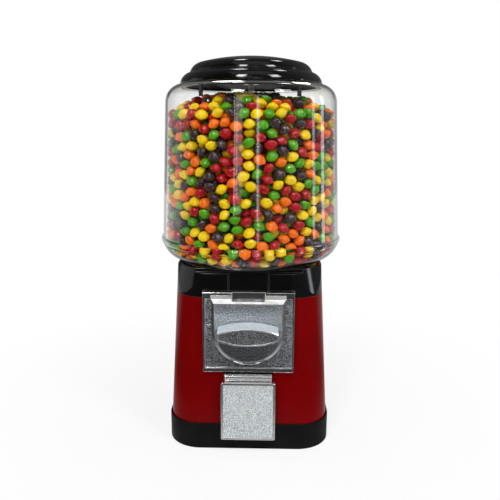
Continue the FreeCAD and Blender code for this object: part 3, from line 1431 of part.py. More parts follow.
# Ratchet
def ratchet_wheel():
    """Saw-toothed wheel that lets the handle turn clockwise, seen from the front."""
    points = []
    pitch = 360 / RATCHET_TEETH
    for index in range(RATCHET_TEETH):
        for radius in (RATCHET_RADIUS - RATCHET_TOOTH_DEPTH, RATCHET_RADIUS):
            x, z = polar(radius, -pitch * index)
            points.append(Vector(x, ratchet_y, AXIS_HEIGHT + z))
    wheel = polygon_prism(points, BACK * RATCHET_THICK)
    return wheel.cut(rod(SHAFT_RADIUS + SCREW_FIT, Vector(0, ratchet_y, AXIS_HEIGHT), BACK, RATCHET_THICK))


def pawl_pin():
    length = ratchet_y + RATCHET_THICK + PAWL_PIN_TAIL - pocket_y
    return rod(PAWL_PIN_RADIUS, Vector(PAWL_PIVOT_X, pocket_y, pawl_pivot_z), BACK, length)


def ratchet_pawl():
    pivot = Vector(PAWL_PIVOT_X, ratchet_y, pawl_pivot_z)
    boss = rod(PAWL_BOSS_RADIUS, pivot, BACK, RATCHET_THICK)
    tip_x = RATCHET_RADIUS + MOVE_GAP
    tip_z = AXIS_HEIGHT + PAWL_TIP_UP
    points = [
        Vector(tip_x, ratchet_y, tip_z),
        Vector(tip_x + PAWL_TIP_HALF * 2, ratchet_y, tip_z - PAWL_TIP_HALF),
        Vector(PAWL_PIVOT_X + PAWL_BOSS_RADIUS, ratchet_y, pawl_pivot_z),
        Vector(PAWL_PIVOT_X - PAWL_BOSS_RADIUS, ratchet_y, pawl_pivot_z),
    ]
    pawl = boss.fuse(polygon_prism(points, BACK * RATCHET_THICK))
    return pawl.cut(rod(PAWL_PIN_RADIUS + PIN_FIT, pivot, BACK, RATCHET_THICK)).removeSplitter()


def pawl_spring():
    """Bent leaf on the housing plate, beside the pawl's back."""
    leaf_x = PAWL_PIVOT_X + PAWL_BOSS_RADIUS + MOVE_GAP
    top_z = pawl_pivot_z + PAWL_BOSS_RADIUS
    back_y = ratchet_y + RATCHET_THICK
    leaf = box(leaf_x, leaf_x + SPRING_THICK, housing_back_y, back_y, AXIS_HEIGHT + PAWL_TIP_UP, top_z)
    low_z = AXIS_HEIGHT + PAWL_TIP_UP
    foot_y = housing_back_y + SPRING_THICK
    foot = box(leaf_x, leaf_x + SPRING_BASE, housing_back_y, foot_y, low_z, low_z + SPRING_BASE)
    return leaf.fuse(foot).removeSplitter()


PIECES = {
    "base_tray": base_tray,
    "base_screws": base_screws,
    "body_shell": body_shell,
    "hopper_cap": hopper_cap,
    "cap_screws": cap_screws,
    "globe_gasket": globe_gasket,
    "globe": globe,
    "candy_fill": candy_fill,
    "center_rod": center_rod,
    "rod_nuts": rod_nuts,
    "rod_bracket": rod_bracket,
    "bracket_screws": lambda: floor_screws(bracket_screw_spots(), BRACKET_SHEET),
    "brush_housing": brush_housing,
    "brush": brush,
    "chute": chute,
    "chute_screws": lambda: floor_screws(chute_screw_spots(), CHUTE_WALL),
    "flap_pin": flap_pin,
    "chute_flap": chute_flap,
    "coin_box": coin_box,
    "mech_face": mech_face,
    "mech_nuts": mech_nuts,
    "mech_housing": mech_housing,
    "housing_screws": housing_screws,
    "shaft_bushes": shaft_bushes,
    "coin_carrier": coin_carrier,
    "handle_shaft": handle_shaft,
    "handle_pin": handle_pin,
    "turn_handle": turn_handle,
    "drive_pinion": drive_pinion,
    "shaft_nut": shaft_nut,
    "ratchet_wheel": ratchet_wheel,
    "ratchet_pawl": ratchet_pawl,
    "pawl_pin": pawl_pin,
    "pawl_spring": pawl_spring,
    "candy_wheel": candy_wheel,
    "wheel_gear": wheel_gear,
    "gear_screws": gear_screws,
    "lid": lid,
    "lock_housing": lock_housing,
    "lock_nut": lock_nut,
    "lock_plug": lock_plug,
}

os.makedirs("parts", exist_ok=True)
for name, make in PIECES.items():
    shape = make()
    solids = len(shape.Solids)
    print(name, "solids", solids, "valid", shape.isValid(), "volume", round(shape.Volume))
    shape.exportStep("parts/" + name + ".step")
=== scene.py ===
import math

import bpy
import numpy as np
from mathutils import Euler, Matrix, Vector
from mathutils.kdtree import KDTree


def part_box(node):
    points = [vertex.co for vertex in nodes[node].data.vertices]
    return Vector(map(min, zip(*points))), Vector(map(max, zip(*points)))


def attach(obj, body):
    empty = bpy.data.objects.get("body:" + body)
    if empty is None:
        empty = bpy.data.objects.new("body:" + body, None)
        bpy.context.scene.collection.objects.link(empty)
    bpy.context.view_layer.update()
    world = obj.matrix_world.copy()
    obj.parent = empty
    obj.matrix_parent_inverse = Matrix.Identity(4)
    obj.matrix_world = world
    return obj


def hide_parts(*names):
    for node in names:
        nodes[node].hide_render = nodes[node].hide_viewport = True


# A coin-operated gumball machine. Lengths are metres, in the frame of the solids.


def grey(level):
    return (level, level, level, 1)


# Camera, at the photograph's viewing angle
CAMERA_PLACE = (0.0174, -0.734, 0.377)
CAMERA_PITCH_DOWN = 11.86
CAMERA_YAW = 1.42
CAMERA_ROLL = 0.18
CAMERA_LENS = 42.12
CAMERA_SENSOR = 36.0

# Candy
CANDY_WIDTH = 0.0146
CANDY_THICK = 0.0112
CANDY_RIM_POWER = 0.86
CANDY_SEGMENTS = 10
CANDY_RINGS = 6
CANDY_SIZE_SPREAD = 0.04

# How the candies are packed
CANDY_SEED = 11
CANDY_TRIALS = 60000
CANDY_DENSITY = 0.66
CANDY_DEPTH = 0.030
CANDY_ROUNDS = 240
CANDY_TOUCH = 0.97
CANDY_PUSH = 0.35
CANDY_WALL_LEAN = 0.35
CANDY_SETTLE = 1.0
CANDY_POKE = 0.2
NEIGHBOUR_REACH = 0.018
NEIGHBOUR_ROUNDS = 12
TINY = 1e-6

# Lump behind the candies
CORE_INSET = 0.022
CORE_KNEE = 0.5
CORE_STEPS = 64

# Inside of the globe, as radius and height, and the room that its rod takes
WALL_LOW = (0.1074, 0.2417)
WALL_HIGH = (0.1010, 0.4057)
BOWL_CENTRE = (0.0820, 0.2460)
BOWL_ROUND = 0.0272
BOWL_FLOOR = 0.2188
ROD_ROOM = 0.0055

# Mounded top of the heap
MOUND_EDGE = 0.1013
MOUND_LOW = 0.3870
MOUND_RISE = 0.0285
MOUND_FLATNESS = 1.7

# Stippled fields on the castings, each set back from its own front
FRONT_DIGITS = 5
SHIELD_STEP = 0.0060
FACE_RECESS = 0.0014
WING_RECESS = 0.0004
SHIELD_RECESS = 0.0008
HANDLE_RECESS = 0.0007
FIELD_SPREAD = 0.0002

# The flap's lean in degrees, and its field's distance in front of the hinge
FLAP_LEAN = 3.6
FLAP_FIELD = 0.0056
FLAP_METAL = 0.30

# Heights between which the shield gets a painted reflection of the handle's lit top above the handle, and
# painted shade below it
PAINTED_REFLECTION_HEIGHTS = (0.164, 0.177)
PAINTED_REFLECTION_RISE = 0.001
PAINTED_SHADE_HEIGHTS = (0.132, 0.146)

# Part of the chute that stands outside the body
CHEEK_INNER = 0.02705
CHEEK_BACK = -0.080

# Ranges over which a mask turns from one side to the other
UNDERSIDE = (-0.7, -0.4)
TOPSIDE = (0.6, 0.9)
FORWARD = (-0.98, -0.93)
EDGE_LEAN = (0.90, 0.985)
NOISE_SPAN = (0.3, 0.7)
HAZE_SPAN = (0.35, 0.75)
SPECK_SPAN = (0.42, 0.58)
SPANGLE_SPAN = (0.1, 0.7)
STRAND_SPAN = (0.35, 0.65)

# Fine relief, sheen and painted edge highlights
STIPPLE_PITS = 0.8
STIPPLE_SPECKS = 0.7
EDGE_HIGHLIGHT_METAL_LOSS = 0.7
SWIRL_FINE = 0.3
MOULD_SPREAD = 0.12
EASED_SAMPLES = 6

# Candy colours, linear, and each one's share of the heap
CANDY_COLOURS = {
    "yellow": ((0.90, 0.60, 0.0, 1), 0.27),
    "orange": ((0.95, 0.16, 0.0, 1), 0.185),
    "green": ((0.075, 0.33, 0.002, 1), 0.20),
    "red": ((0.42, 0.003, 0.008, 1), 0.175),
    "purple": ((0.046, 0.024, 0.028, 1), 0.17),
}
CANDY_DEEP = 0.90
CANDY_PALE = 1.08
CANDY_LIFT = 0.001
# Candy colours darkened by this share as painted shade for the heap's middle
CORE_PAINTED_SHADE = 0.35

# Other colours, linear, with the deeper of two tones first
GLOSS_TONES = (grey(0.0022), grey(0.0040))
# Painted highlight along the edges of the black mouldings
GLOSS_EDGE_HIGHLIGHT = (0.040, 0.044, 0.044, 1)
# Underside of the black mouldings: dull, and painted paler grey as light
GLOSS_UNDERSIDE_PAINTED_LIGHT = grey(0.032)
SATIN_TONES = ((0.0055, 0.006, 0.0055, 1), (0.0085, 0.009, 0.0085, 1))
PAINT_TONES = ((0.145, 0.0, 0.0004, 1), (0.175, 0.0, 0.0008, 1))
CHEEK_RED = (0.16, 0.0, 0.0006, 1)
POLISH_TONES = (grey(0.70), grey(0.80))
# Painted highlight along the polished edges of the castings
EDGE_HIGHLIGHT_METAL = (0.88, 0.91, 0.93, 1)
FACE_TONES = ((0.10, 0.105, 0.115, 1), (0.58, 0.60, 0.64, 1))
# Painted reflection of the handle's lit top on the shield, then painted shade under the handle
PAINTED_REFLECTION_TONES = ((0.36, 0.41, 0.46, 1), (0.90, 0.95, 0.98, 1))
PAINTED_SHADE_TONES = ((0.07, 0.074, 0.082, 1), (0.48, 0.50, 0.54, 1))
HANDLE_TONES = ((0.10, 0.105, 0.11, 1), (0.40, 0.41, 0.43, 1))
# Handle's top, painted paler as a highlight of the light from above
HANDLE_TOP_PAINTED_LIGHT_TONES = ((0.66, 0.74, 0.79, 1), (0.76, 0.84, 0.89, 1))
FLAP_TONES = ((0.47, 0.52, 0.56, 1), (0.96, 1.0, 1.0, 1))
CHROME = grey(0.72)
ZINC_TONES = (grey(0.46), grey(0.60))
CASTING_TONES = (grey(0.40), grey(0.52))
BRASS_TONES = ((0.62, 0.40, 0.13, 1), (0.76, 0.54, 0.22, 1))
CHUTE_TONES = (grey(0.012), grey(0.022))
RUBBER_TONES = (grey(0.012), grey(0.03))
GEAR_TONES = ((0.62, 0.61, 0.56, 1), (0.72, 0.71, 0.66, 1))
BOX_TONES = (grey(0.10), grey(0.14))
BRISTLE_TONES = (grey(0.03), grey(0.14))
GLOBE_TINT = (0.985, 0.99, 0.985, 1)
GLOBE_CLEAR = (0.97, 0.975, 0.97, 1)
GLOBE_INDEX = 1.42
FLOOR_TONE = grey(0.9)

# Room, as brightness and as ranges of a direction's parts
ROOM_LIGHT = 0.35
ROOM_FRONT = 0.015
ROOM_BACK = 0.12
ROOM_RIGHT = 0.10
ROOM_BENT = 0.40
ROOM_DEPTH_SPAN = (-0.3, 0.3)
ROOM_SIDE_SPAN = (0.2, 0.9)
ROOM_BENT_SPAN = (0.5, 0.96)
BACKDROP_GLOSS = 0.55
BACKDROP_SPAN = (0.6, 0.92)
BACKDROP_TOP_SPAN = (0.10, 0.20)

# Floor
FLOOR_HALF = 6.0
FLOOR_SHADE = 0.8
FLOOR_SHADE_SPAN = (0.12, 0.55)
FLOOR_GLEAM = 0.05
FLOOR_GLEAM_RIGHT = 0.14
FLOOR_GLEAM_NEAR = 0.10
FLOOR_GLEAM_FAR = 0.32

# Lamps: place, width, height, brightness and colour
LAMP_TARGET = (0, 0, 0.3)
WHITE = (1, 1, 1)
COOL = (0.86, 0.92, 1.0)
LAMPS = {
    "strip_front_left": ((-0.50, -2.2, 0.62), 0.33, 0.85, 1.4, WHITE),
    "line_front_left": ((-0.635, -2.19, 0.62), 0.065, 0.85, 3.8, WHITE),
    "strip_front_right": ((0.36, -2.2, 0.55), 0.18, 0.9, 0.8, WHITE),
    "line_front_right": ((0.35, -2.19, 0.55), 0.075, 0.9, 3.8, WHITE),
    "side_right": ((1.9, -0.1, 0.5), 0.17, 1.2, 4.8, COOL),
    "side_left": ((-2.0, 0.20, 0.6), 1.1, 1.6, 0.6, WHITE),
    "ceiling_left": ((-0.42, -1.3, 2.0), 0.40, 0.50, 27, WHITE),
    "ceiling_right": ((1.1, -1.0, 2.0), 0.44, 0.52, 20, WHITE),
    "ceiling_wide": ((0, -0.6, 2.4), 1.6, 1.2, 0.5, WHITE),
    "front_bar": ((0, -2.0, 2.1), 2.6, 0.16, 4.0, WHITE),
    "front_low_bar": ((0, -2.1, 1.28), 1.3, 0.20, 1.8, WHITE),
    "ceiling_back_left": ((-0.30, 1.0, 2.6), 0.30, 0.30, 14, WHITE),
    "ceiling_back_right": ((0.75, 1.0, 2.6), 0.30, 0.30, 12, WHITE),
}

# Sockets that share a name with others on their node
MIX_FIRST = 6
MIX_SECOND = 7
MIX_RESULT = 2
COMPARE_FIRST = 2
COMPARE_SECOND = 3

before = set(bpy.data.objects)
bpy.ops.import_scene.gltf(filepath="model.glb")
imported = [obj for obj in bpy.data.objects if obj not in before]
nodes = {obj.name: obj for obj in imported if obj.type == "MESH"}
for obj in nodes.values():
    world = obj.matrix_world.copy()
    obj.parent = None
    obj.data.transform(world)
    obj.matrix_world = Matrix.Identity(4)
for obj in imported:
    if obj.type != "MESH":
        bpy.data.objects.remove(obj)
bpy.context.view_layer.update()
scene = bpy.context.scene
scene.view_settings.view_transform = "Standard"

# Places that come from the solids, with the shield's front to a hundredth of a millimetre
shield_front = round(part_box("mech_face")[0].y, FRONT_DIGITS)
face_front = shield_front + SHIELD_STEP
handle_low, handle_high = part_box("turn_handle")
handle_axis = (handle_low.z + handle_high.z) / 2
pin_low, pin_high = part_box("flap_pin")
flap_hinge = (pin_low + pin_high) / 2


def new_object(name, data):
    made = bpy.data.objects.new(name, data)
    scene.collection.objects.link(made)
    return made


class Link:
    """An output socket, with arithmetic that adds Math nodes to its tree."""

    def __init__(self, tree, socket):
        self.tree = tree
        self.socket = socket

    def math(self, operation, *others):
        values = dict(enumerate((self,) + others))
        return self.tree.add("ShaderNodeMath", {"operation": operation}, values)

    def __add__(self, other):
        return self.math("ADD", other)

    def __sub__(self, other):
        return self.math("SUBTRACT", other)

    def __mul__(self, other):
        return self.math("MULTIPLY", other)

    def __pow__(self, other):
        return self.math("POWER", other)

    def __radd__(self, other):
        return self + other

    def __rmul__(self, other):
        return self * other

    def __rsub__(self, other):
        return self.tree.add("ShaderNodeMath", {"operation": "SUBTRACT"}, {0: other, 1: self})

    def size(self):
        return self.math("ABSOLUTE")

    def sign(self):
        return self.math("SIGN")

    def largest(self, other):
        return self.math("MAXIMUM", other)

    def smallest(self, other):
        return self.math("MINIMUM", other)

    def ramp(self, low, high, start=0.0, end=1.0):
        """Smooth step from start to end as the value goes from low to high."""
        values = {"Value": self, "From Min": low, "From Max": high, "To Min": start, "To Max": end}
        return self.tree.add("ShaderNodeMapRange", {"interpolation_type": "SMOOTHSTEP"}, values)

    def fall(self, low, high):
        """Smooth step from 1 to 0 as the value goes from low to high."""
        return self.ramp(low, high, 1.0, 0.0)

    def out(self, name):
        """Another output of the same node."""
        return Link(self.tree, self.socket.node.outputs[name])


class Tree:
    """A node tree that is filled by one method."""

    def __init__(self, tree):
        self.nodes = tree.nodes
        self.links = tree.links

    def add(self, kind, settings=None, values=None):
        """Adds a node: its settings first, then the values or links of its sockets."""
        node = self.nodes.new(kind)
        for name, value in (settings or {}).items():
            if name == "stops":
                self.set_stops(node.color_ramp, value)
            else:
                setattr(node, name, value)
        for name, value in (values or {}).items():
            if isinstance(value, Link):
                self.links.new(value.socket, node.inputs[name])
            else:
                node.inputs[name].default_value = value
        return Link(self, node.outputs[0]) if node.outputs else None

    def set_stops(self, ramp, stops):
        """Bands of even colour, each from its own place on."""
        ramp.interpolation = "CONSTANT"
        while len(ramp.elements) < len(stops):
            ramp.elements.new(1)
        for element, (place, colour) in zip(ramp.elements, stops):
            element.position = place
            element.color = colour


class Finish(Tree):
    """A material made of nodes."""

    def __init__(self, name):
        self.material = bpy.data.materials.new(name)
        self.material.use_nodes = True
        super().__init__(self.material.node_tree)
        self.nodes.clear()

    def place(self):
        return self.add("ShaderNodeTexCoord").out("Object")

    def axis(self, name):
        return self.add("ShaderNodeSeparateXYZ", None, {0: self.place()}).out(name)

    def facing(self, axis):
        """How far a face looks along an axis of its own piece, from -1 to 1."""
        normal = self.add("ShaderNodeNewGeometry").out("True Normal")
        turn = {"vector_type": "NORMAL", "convert_from": "WORLD", "convert_to": "OBJECT"}
        own = self.add("ShaderNodeVectorTransform", turn, {0: normal})
        return self.add("ShaderNodeSeparateXYZ", None, {0: own}).out(axis)

    def field(self, value, *places):
        """1 on faces that look forward and lie at one of the places, and 0 elsewhere."""
        away = (value - places[0]).size()
        for place in places[1:]:
            away = away.smallest((value - place).size())
        return away.fall(FIELD_SPREAD, FIELD_SPREAD * 2) * self.facing("Y").fall(*FORWARD)

    def noise(self, scale, detail, roughness=0.5):
        values = {"Vector": self.place(), "Scale": scale, "Detail": detail, "Roughness": roughness}
        return self.add("ShaderNodeTexNoise", None, values)

    def cells(self, scale):
        return self.add("ShaderNodeTexVoronoi", None, {"Vector": self.place(), "Scale": scale})

    def vary(self, scale, detail, low=0.0, high=1.0):
        """Value that wanders between low and high over the surface."""
        return self.noise(scale, detail).ramp(*NOISE_SPAN, low, high)

    def mottle(self, scale, detail, tones):
        """Colour that wanders between two tones over the surface."""
        return self.blend(self.vary(scale, detail), *tones)

    def rounded(self, radius):
        """Normal with the edges eased, as a moulding or casting has."""
        return self.add("ShaderNodeBevel", {"samples": EASED_SAMPLES}, {"Radius": radius})

    def edge(self, radius):
        """1 along the edges of a piece, where a painted highlight is laid, and 0 on its faces."""
        flat = self.add("ShaderNodeNewGeometry").out("True Normal")
        pair = {0: self.rounded(radius), 1: flat}
        lean = self.add("ShaderNodeVectorMath", {"operation": "DOT_PRODUCT"}, pair)
        return lean.out("Value").fall(*EDGE_LEAN)

    def bump(self, height, depth, radius=None):
        """Normal of a fine relief of the given depth, with the edges eased where a radius is given."""
        values = {"Height": height, "Distance": depth, "Strength": 1.0}
        if radius is not None:
            values["Normal"] = self.rounded(radius)
        return self.add("ShaderNodeBump", None, values)

    def blend(self, share, first, second):
        values = {0: share, MIX_FIRST: first, MIX_SECOND: second}
        return self.add("ShaderNodeMix", {"data_type": "RGBA"}, values).out(MIX_RESULT)

    def solid(self, **values):
        named = {name.replace("_", " "): value for name, value in values.items()}
        return self.add("ShaderNodeBsdfPrincipled", None, named)

    def shine(self, level):
        return self.add("ShaderNodeEmission", None, {"Color": grey(level), "Strength": 1.0})

    def either(self, share, first, second):
        """The first shader where the share is 0 and the second where it is 1."""
        return self.add("ShaderNodeMixShader", None, {0: share, 1: first, 2: second})

    def done(self, shader):
        self.add("ShaderNodeOutputMaterial", None, {"Surface": shader})
        return self.material


# Finishes
def gloss_black():
    """Polished moulding whose underside is left dull, with a paler grey painted on it as light."""
    f = Finish("gloss_black_plastic")
    haze = f.noise(scale=60, detail=4).ramp(*HAZE_SPAN, 0.06, 0.12)
    swirl = f.noise(scale=900, detail=2) * SWIRL_FINE + f.noise(scale=25, detail=1)
    normal = f.bump(swirl, depth=0.00006, radius=0.0016)
    tone = f.mottle(scale=18, detail=3, tones=GLOSS_TONES)
    # Painted highlight along the edges
    tone = f.blend(f.edge(radius=0.0012), tone, GLOSS_EDGE_HIGHLIGHT)
    polished = f.solid(Base_Color=tone, Roughness=haze, Normal=normal, Specular_IOR_Level=0.40)
    # Dull underside, painted paler grey as light
    dull = f.solid(Base_Color=GLOSS_UNDERSIDE_PAINTED_LIGHT, Roughness=0.55, Specular_IOR_Level=0.1)
    return f.done(f.either(f.facing("Z").fall(*UNDERSIDE), polished, dull))


def satin_black():
    f = Finish("satin_black_plastic")
    normal = f.bump(f.cells(scale=1500), depth=0.00008, radius=0.0009)
    sheen = f.vary(scale=45, detail=4, low=0.36, high=0.50)
    tone = f.mottle(scale=30, detail=4, tones=SATIN_TONES)
    return f.done(f.solid(Base_Color=tone, Roughness=sheen, Normal=normal, Specular_IOR_Level=0.06))


def red_paint():
    f = Finish("red_gloss_paint")
    orange_peel = f.noise(scale=420, detail=2)
    normal = f.bump(orange_peel, depth=0.00003, radius=0.0008)
    tone = f.mottle(scale=14, detail=3, tones=PAINT_TONES)
    gloss = f.vary(scale=40, detail=4, low=0.10, high=0.16)
    return f.done(f.solid(Base_Color=tone, Roughness=gloss, Normal=normal, Specular_IOR_Level=0.12))


def stippled(f, mask, tones, depth, metal=1.0):
    """Cast metal that is stippled where the mask is 1 and polished where it is 0."""
    pits = f.cells(scale=760)
    speck = f.noise(scale=820, detail=2, roughness=0.7)
    relief = (pits * STIPPLE_PITS + speck * STIPPLE_SPECKS) * mask
    normal = f.bump(relief, depth, radius=0.0006)
    spots = f.blend(speck.ramp(*SPECK_SPAN), *tones)
    tone = f.blend(mask, f.mottle(scale=90, detail=3, tones=POLISH_TONES), spots)
    dull = f.vary(scale=160, detail=3, low=0.30, high=0.42)
    sheen = mask * dull + (1 - mask) * f.vary(scale=70, detail=3, low=0.07, high=0.15)
    # Painted highlight along the polished edges, paler and less metallic
    edge_highlight = f.edge(radius=0.0010) * (1 - mask)
    tone = f.blend(edge_highlight, tone, EDGE_HIGHLIGHT_METAL)
    metal = metal * (1 - edge_highlight * EDGE_HIGHLIGHT_METAL_LOSS)
    return f.solid(Base_Color=tone, Metallic=metal, Roughness=sheen, Normal=normal)


def face_chrome():
    """Face casting, whose shield carries a painted reflection of the handle above it and painted shade
    below it.
    """
    f = Finish("stippled_face_casting")
    shield = shield_front + SHIELD_RECESS
    mask = f.field(f.axis("Y"), face_front + FACE_RECESS, face_front + WING_RECESS, shield)
    on_shield = f.field(f.axis("Y"), shield)
    # Painted reflection of the handle on the shield above it, and painted shade on the shield below it
    above = f.axis("Z").fall(*PAINTED_REFLECTION_HEIGHTS) * f.axis("Z").ramp(handle_axis, handle_axis + PAINTED_REFLECTION_RISE)
    painted_shade_mask = f.axis("Z").fall(*PAINTED_SHADE_HEIGHTS)
    tones = []
    for plain, painted_reflection, painted_shade in zip(FACE_TONES, PAINTED_REFLECTION_TONES, PAINTED_SHADE_TONES):
        tone = f.blend(above * on_shield, plain, painted_reflection)
        tones.append(f.blend(painted_shade_mask * on_shield, tone, painted_shade))
    return f.done(stippled(f, mask, tones, depth=0.0014))


def handle_chrome():
    """Stippled handle with a satin top, whose paler tone is a painted highlight of the light from above.
    """
    f = Finish("stippled_handle_casting")
    mask = f.field(f.axis("Y"), handle_low.y + HANDLE_RECESS)
    cast = stippled(f, mask, HANDLE_TONES, depth=0.0012)
    # Paler tone on the upward faces: painted highlight of the light from above
    painted_top_light = f.mottle(scale=140, detail=3, tones=HANDLE_TOP_PAINTED_LIGHT_TONES)
    satin = f.solid(Base_Color=painted_top_light, Metallic=0.25, Roughness=0.34, Normal=f.rounded(radius=0.0006))
    return f.done(f.either(f.facing("Z").ramp(*TOPSIDE), cast, satin))


def flap_chrome():
    """Flap casting, whose field leans back from the hinge."""
    f = Finish("stippled_flap_casting")
    lean = math.radians(FLAP_LEAN)
    ahead = f.axis("Y") - flap_hinge.y
    above = f.axis("Z") - flap_hinge.z
    mask = f.field(ahead * -math.cos(lean) + above * math.sin(lean), FLAP_FIELD)
    metal = mask.ramp(0.0, 1.0, 1.0, FLAP_METAL)
    return f.done(stippled(f, mask, FLAP_TONES, depth=0.0014, metal=metal))


def bright_chrome():
    f = Finish("bright_chrome")
    smear = f.vary(scale=120, detail=4, low=0.05, high=0.14)
    normal = f.bump(f.noise(scale=300, detail=2), depth=0.00002, radius=0.0004)
    return f.done(f.solid(Base_Color=CHROME, Metallic=1.0, Roughness=smear, Normal=normal))


def zinc_steel():
    f = Finish("zinc_plated_steel")
    tone = f.blend(f.cells(scale=260).ramp(*SPANGLE_SPAN), *ZINC_TONES)
    sheen = f.vary(scale=110, detail=4, low=0.26, high=0.42)
    normal = f.bump(f.noise(scale=700, detail=3), depth=0.00004, radius=0.0004)
    return f.done(f.solid(Base_Color=tone, Metallic=1.0, Roughness=sheen, Normal=normal))


def plain_casting():
    f = Finish("plain_light_casting")
    tone = f.mottle(scale=80, detail=4, tones=CASTING_TONES)
    normal = f.bump(f.noise(scale=900, detail=3), depth=0.0001, radius=0.0005)
    return f.done(f.solid(Base_Color=tone, Metallic=1.0, Roughness=0.48, Normal=normal))


def bush_brass():
    f = Finish("bush_brass")
    tone = f.mottle(scale=150, detail=3, tones=BRASS_TONES)
    normal = f.bump(f.noise(scale=800, detail=2), depth=0.00003)
    return f.done(f.solid(Base_Color=tone, Metallic=1.0, Roughness=0.28, Normal=normal))


def moulding(f, tone, roughness, gloss=0.5):
    """Plain moulded plastic or rubber with a fine grain."""
    sheen = f.vary(scale=90, detail=4, low=roughness, high=roughness + MOULD_SPREAD)
    normal = f.bump(f.noise(scale=1300, detail=2), depth=0.00005, radius=0.0006)
    return f.solid(Base_Color=tone, Roughness=sheen, Normal=normal, Specular_IOR_Level=gloss)


def moulded(name, tones, roughness):
    f = Finish(name)
    return f.done(moulding(f, f.mottle(scale=40, detail=4, tones=tones), roughness))


def chute_plastic():
    """Black moulding whose cheeks, outside the body, are sprayed with the body's red."""
    f = Finish("chute_plastic")
    beside = f.axis("X").size().ramp(CHEEK_INNER, CHEEK_INNER + FIELD_SPREAD)
    cheek = beside * f.axis("Y").fall(CHEEK_BACK - FIELD_SPREAD, CHEEK_BACK)
    tone = f.blend(cheek, f.mottle(scale=40, detail=4, tones=CHUTE_TONES), CHEEK_RED)
    return f.done(moulding(f, tone, roughness=0.38, gloss=0.2))


def bristle_fibre():
    f = Finish("bristle_fibre")
    strands = f.noise(scale=2600, detail=1)
    tone = f.blend(strands.ramp(*STRAND_SPAN), *BRISTLE_TONES)
    return f.done(f.solid(Base_Color=tone, Roughness=0.7, Normal=f.bump(strands, depth=0.0005)))


def mirrored(path):
    """1 on rays that a gloss sends back, and 0 on those that the globe bends."""
    return path.out("Is Glossy Ray") * (1 - path.out("Is Transmission Ray"))


def clear_plastic():
    """Clear globe: it bends and reflects what is seen, and lets the light on the candies through."""
    f = Finish("clear_globe_plastic")
    ripple = f.bump(f.noise(scale=9, detail=2), depth=0.0003)
    glassy = {"Color": GLOBE_TINT, "Roughness": 0.0, "IOR": GLOBE_INDEX, "Normal": ripple}
    glass = f.add("ShaderNodeBsdfGlass", None, glassy)
    clear = f.add("ShaderNodeBsdfTransparent", None, {"Color": GLOBE_CLEAR})
    path = f.add("ShaderNodeLightPath")
    lit = path.out("Is Shadow Ray").largest(path.out("Is Diffuse Ray")).largest(mirrored(path))
    return f.done(f.either(lit, glass, clear))


def shaded(colour, share, lift=0.0):
    """A colour made darker or paler."""
    return tuple(min(1.0, part * share + lift) for part in colour[:3]) + (1,)


def sugar_shell(name, colour):
    """Candy shell: even colour with slight blotches, a wax gloss and fine pits."""
    f = Finish("sugar_shell_" + name)
    tones = (shaded(colour, CANDY_DEEP), shaded(colour, CANDY_PALE, CANDY_LIFT))
    tone = f.mottle(scale=170, detail=3, tones=tones)
    gloss = f.vary(scale=260, detail=3, low=0.20, high=0.30)
    normal = f.bump(f.noise(scale=420, detail=2), depth=0.00004)
    return f.done(f.solid(Base_Color=tone, Roughness=gloss, Normal=normal, Specular_IOR_Level=0.0,
                          Coat_Weight=1.0, Coat_Roughness=0.06, Coat_IOR=1.75))


def mixed_candy():
    """Mottled candy colour for the middle of the heap, behind the candies that show, darkened as painted
    shade.
    """
    f = Finish("heap_middle")
    cell = f.cells(scale=80).out("Color")
    value = f.add("ShaderNodeSeparateColor", None, {0: cell}).out("Red")
    stops = []
    share = 0.0
    for colour, part in CANDY_COLOURS.values():
        # Each candy colour darkened as painted shade
        stops.append((share, shaded(colour, CORE_PAINTED_SHADE)))
        share += part
    tone = f.add("ShaderNodeValToRGB", {"stops": stops}, {0: value})
    return f.done(f.solid(Base_Color=tone, Roughness=0.5))


def paint(finish, *names):
    for name in names:
        nodes[name].material_slots[0].material = finish


def finish_nodes():
    paint(gloss_black(), "hopper_cap", "lid")
    paint(satin_black(), "base_tray")
    paint(red_paint(), "body_shell")
    paint(face_chrome(), "mech_face")
    paint(handle_chrome(), "turn_handle")
    paint(flap_chrome(), "chute_flap")
    paint(bright_chrome(), "lock_plug", "lock_housing", "lock_nut")
    paint(clear_plastic(), "globe")
    paint(zinc_steel(), "base_screws", "cap_screws", "center_rod", "rod_nuts", "rod_bracket",
          "bracket_screws", "chute_screws", "flap_pin", "mech_nuts", "mech_housing", "housing_screws",
          "pawl_pin", "pawl_spring", "handle_shaft", "handle_pin", "shaft_nut", "ratchet_wheel",
          "ratchet_pawl", "gear_screws")
    paint(plain_casting(), "coin_carrier")
    paint(bush_brass(), "shaft_bushes")
    paint(moulded("seal_rubber", RUBBER_TONES, roughness=0.6), "globe_gasket")
    paint(moulded("gear_plastic", GEAR_TONES, roughness=0.42), "candy_wheel", "wheel_gear", "drive_pinion")
    paint(chute_plastic(), "chute")
    paint(moulded("brush_plastic", CHUTE_TONES, roughness=0.38), "brush_housing")
    paint(moulded("box_plastic", BOX_TONES, roughness=0.45), "coin_box")
    paint(bristle_fibre(), "brush")


